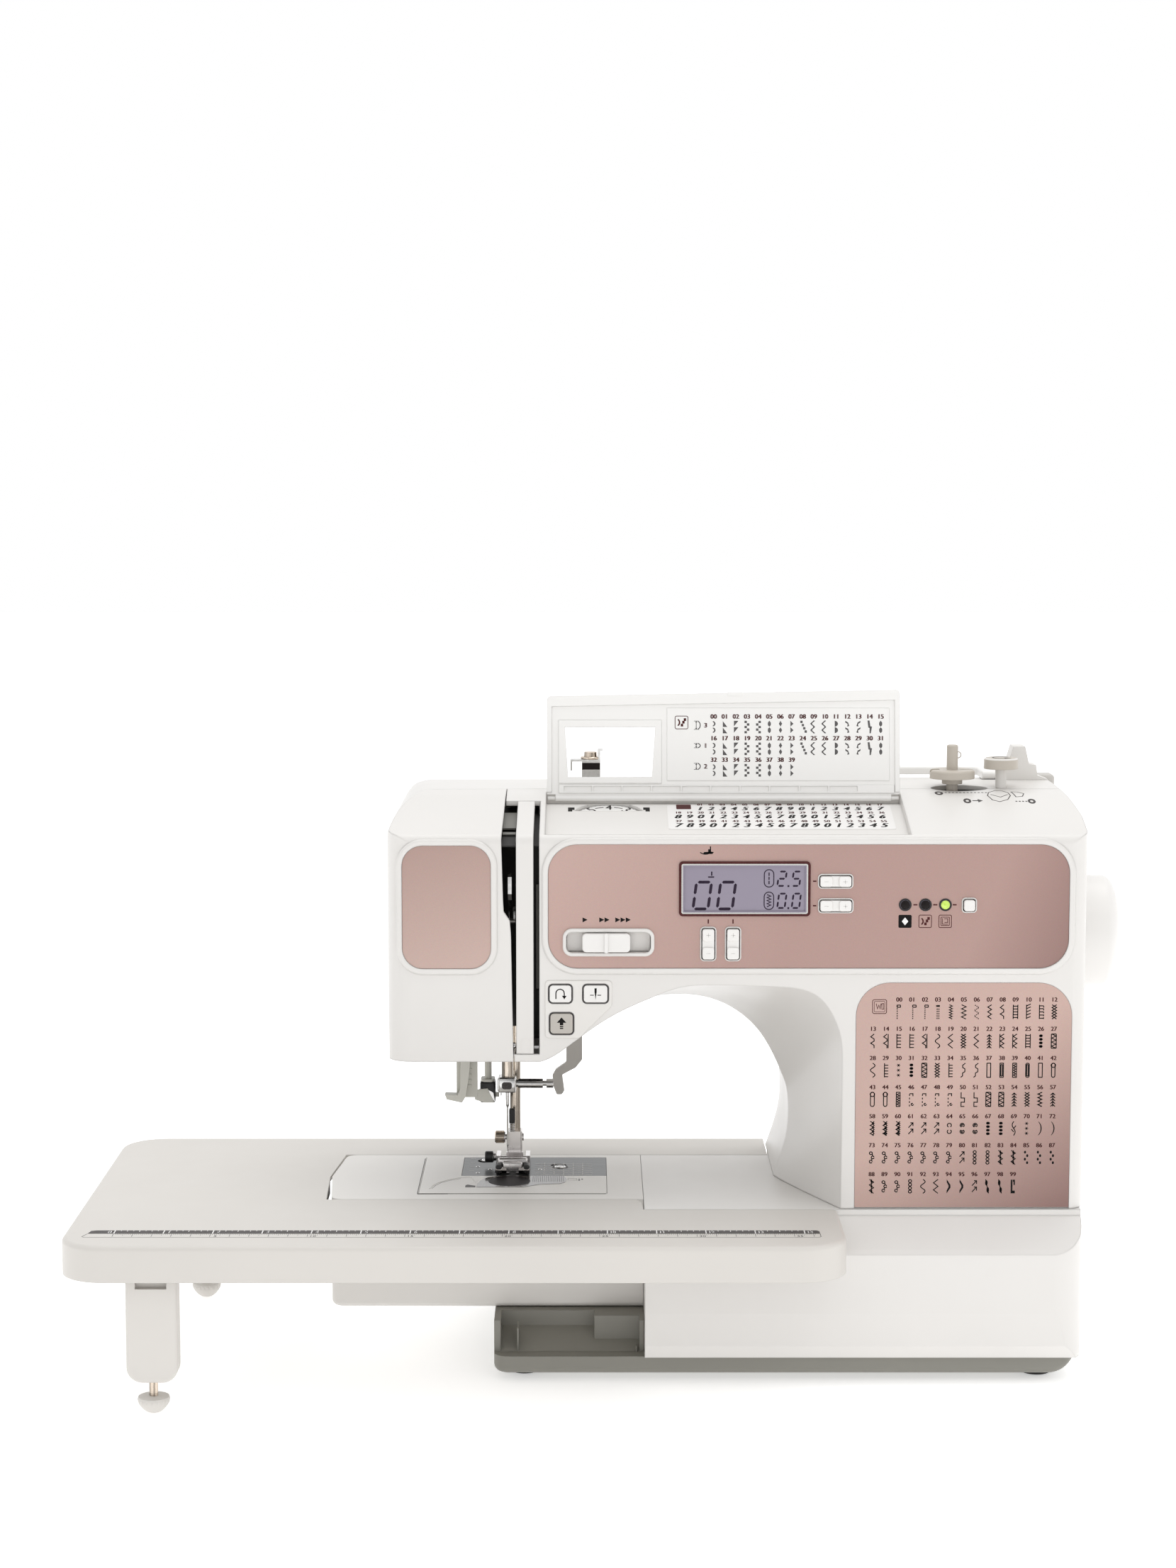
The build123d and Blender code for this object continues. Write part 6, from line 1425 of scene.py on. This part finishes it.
fl = bpy.data.meshes.new("floor")
fl.from_pydata([(-8, -8, -0.0003), (8, -8, -0.0003), (8, 8, -0.0003), (-8, 8, -0.0003)], [], [(0, 1, 2, 3)])
floor = bpy.data.objects.new("floor", fl)
scene.collection.objects.link(floor)
fm, fnt, fb = new_mat("floor_pale")
fnt.links.new(ramp(fnt, noise(fnt, 3.0, 2.0), [(0.3, (0.93, 0.93, 0.93)), (0.7, (0.95, 0.95, 0.95))]), fb.inputs["Base Color"])
fnt.links.new(ramp(fnt, noise(fnt, 3.0, 2.0), [(0.3, (0.98, 0.98, 0.98)), (0.7, (1.0, 1.0, 1.0))]), fb.inputs["Emission Color"])
fb.inputs["Emission Strength"].default_value = 0.45
fb.inputs["Roughness"].default_value = 0.7
fl.materials.append(fm)

world = bpy.data.worlds.new("studio")
scene.world = world
world.use_nodes = True
wnt = world.node_tree
wtc = wnt.nodes.new("ShaderNodeTexCoord")
wdot = wnt.nodes.new("ShaderNodeVectorMath")
wdot.operation = "DOT_PRODUCT"
wnt.links.new(wtc.outputs["Generated"], wdot.inputs[0])
wdot.inputs[1].default_value = (0.12, -0.99, 0.0)
wnt.links.new(ramp(wnt, wdot.outputs["Value"], [(0.05, (1.0, 1.0, 1.0)), (0.75, (0.70, 0.70, 0.70))]), wnt.nodes["Background"].inputs["Color"])
world.node_tree.nodes["Background"].inputs["Strength"].default_value = 1.0


def area(name, loc, target, size, power, color=(1, 1, 1)):
    d = bpy.data.lights.new(name, "AREA")
    d.shape = "RECTANGLE"
    d.size, d.size_y = size
    d.energy = power
    d.color = color
    o = bpy.data.objects.new(name, d)
    scene.collection.objects.link(o)
    o.location = loc
    o.rotation_mode = "QUATERNION"
    o.rotation_quaternion = (Vector(target) - Vector(loc)).to_track_quat("-Z", "Y")
    return o


area("key", (1.0, -1.3, 2.3), (0.05, 0, 0.2), (1.2, 1.2), 3.4, (1.0, 0.995, 0.985))
area("top", (0.0, -0.05, 2.4), (0.0, 0.0, 0.2), (2.0, 1.4), 9.5)
area("fill", (1.0, -1.15, 0.7), (0.12, 0, 0.15), (0.8, 0.8), 1.5)
area("rim", (0.1, 0.7, 1.9), (0, 0.05, 0.3), (1.6, 0.8), 4.5)
scene.view_settings.view_transform = "Standard"
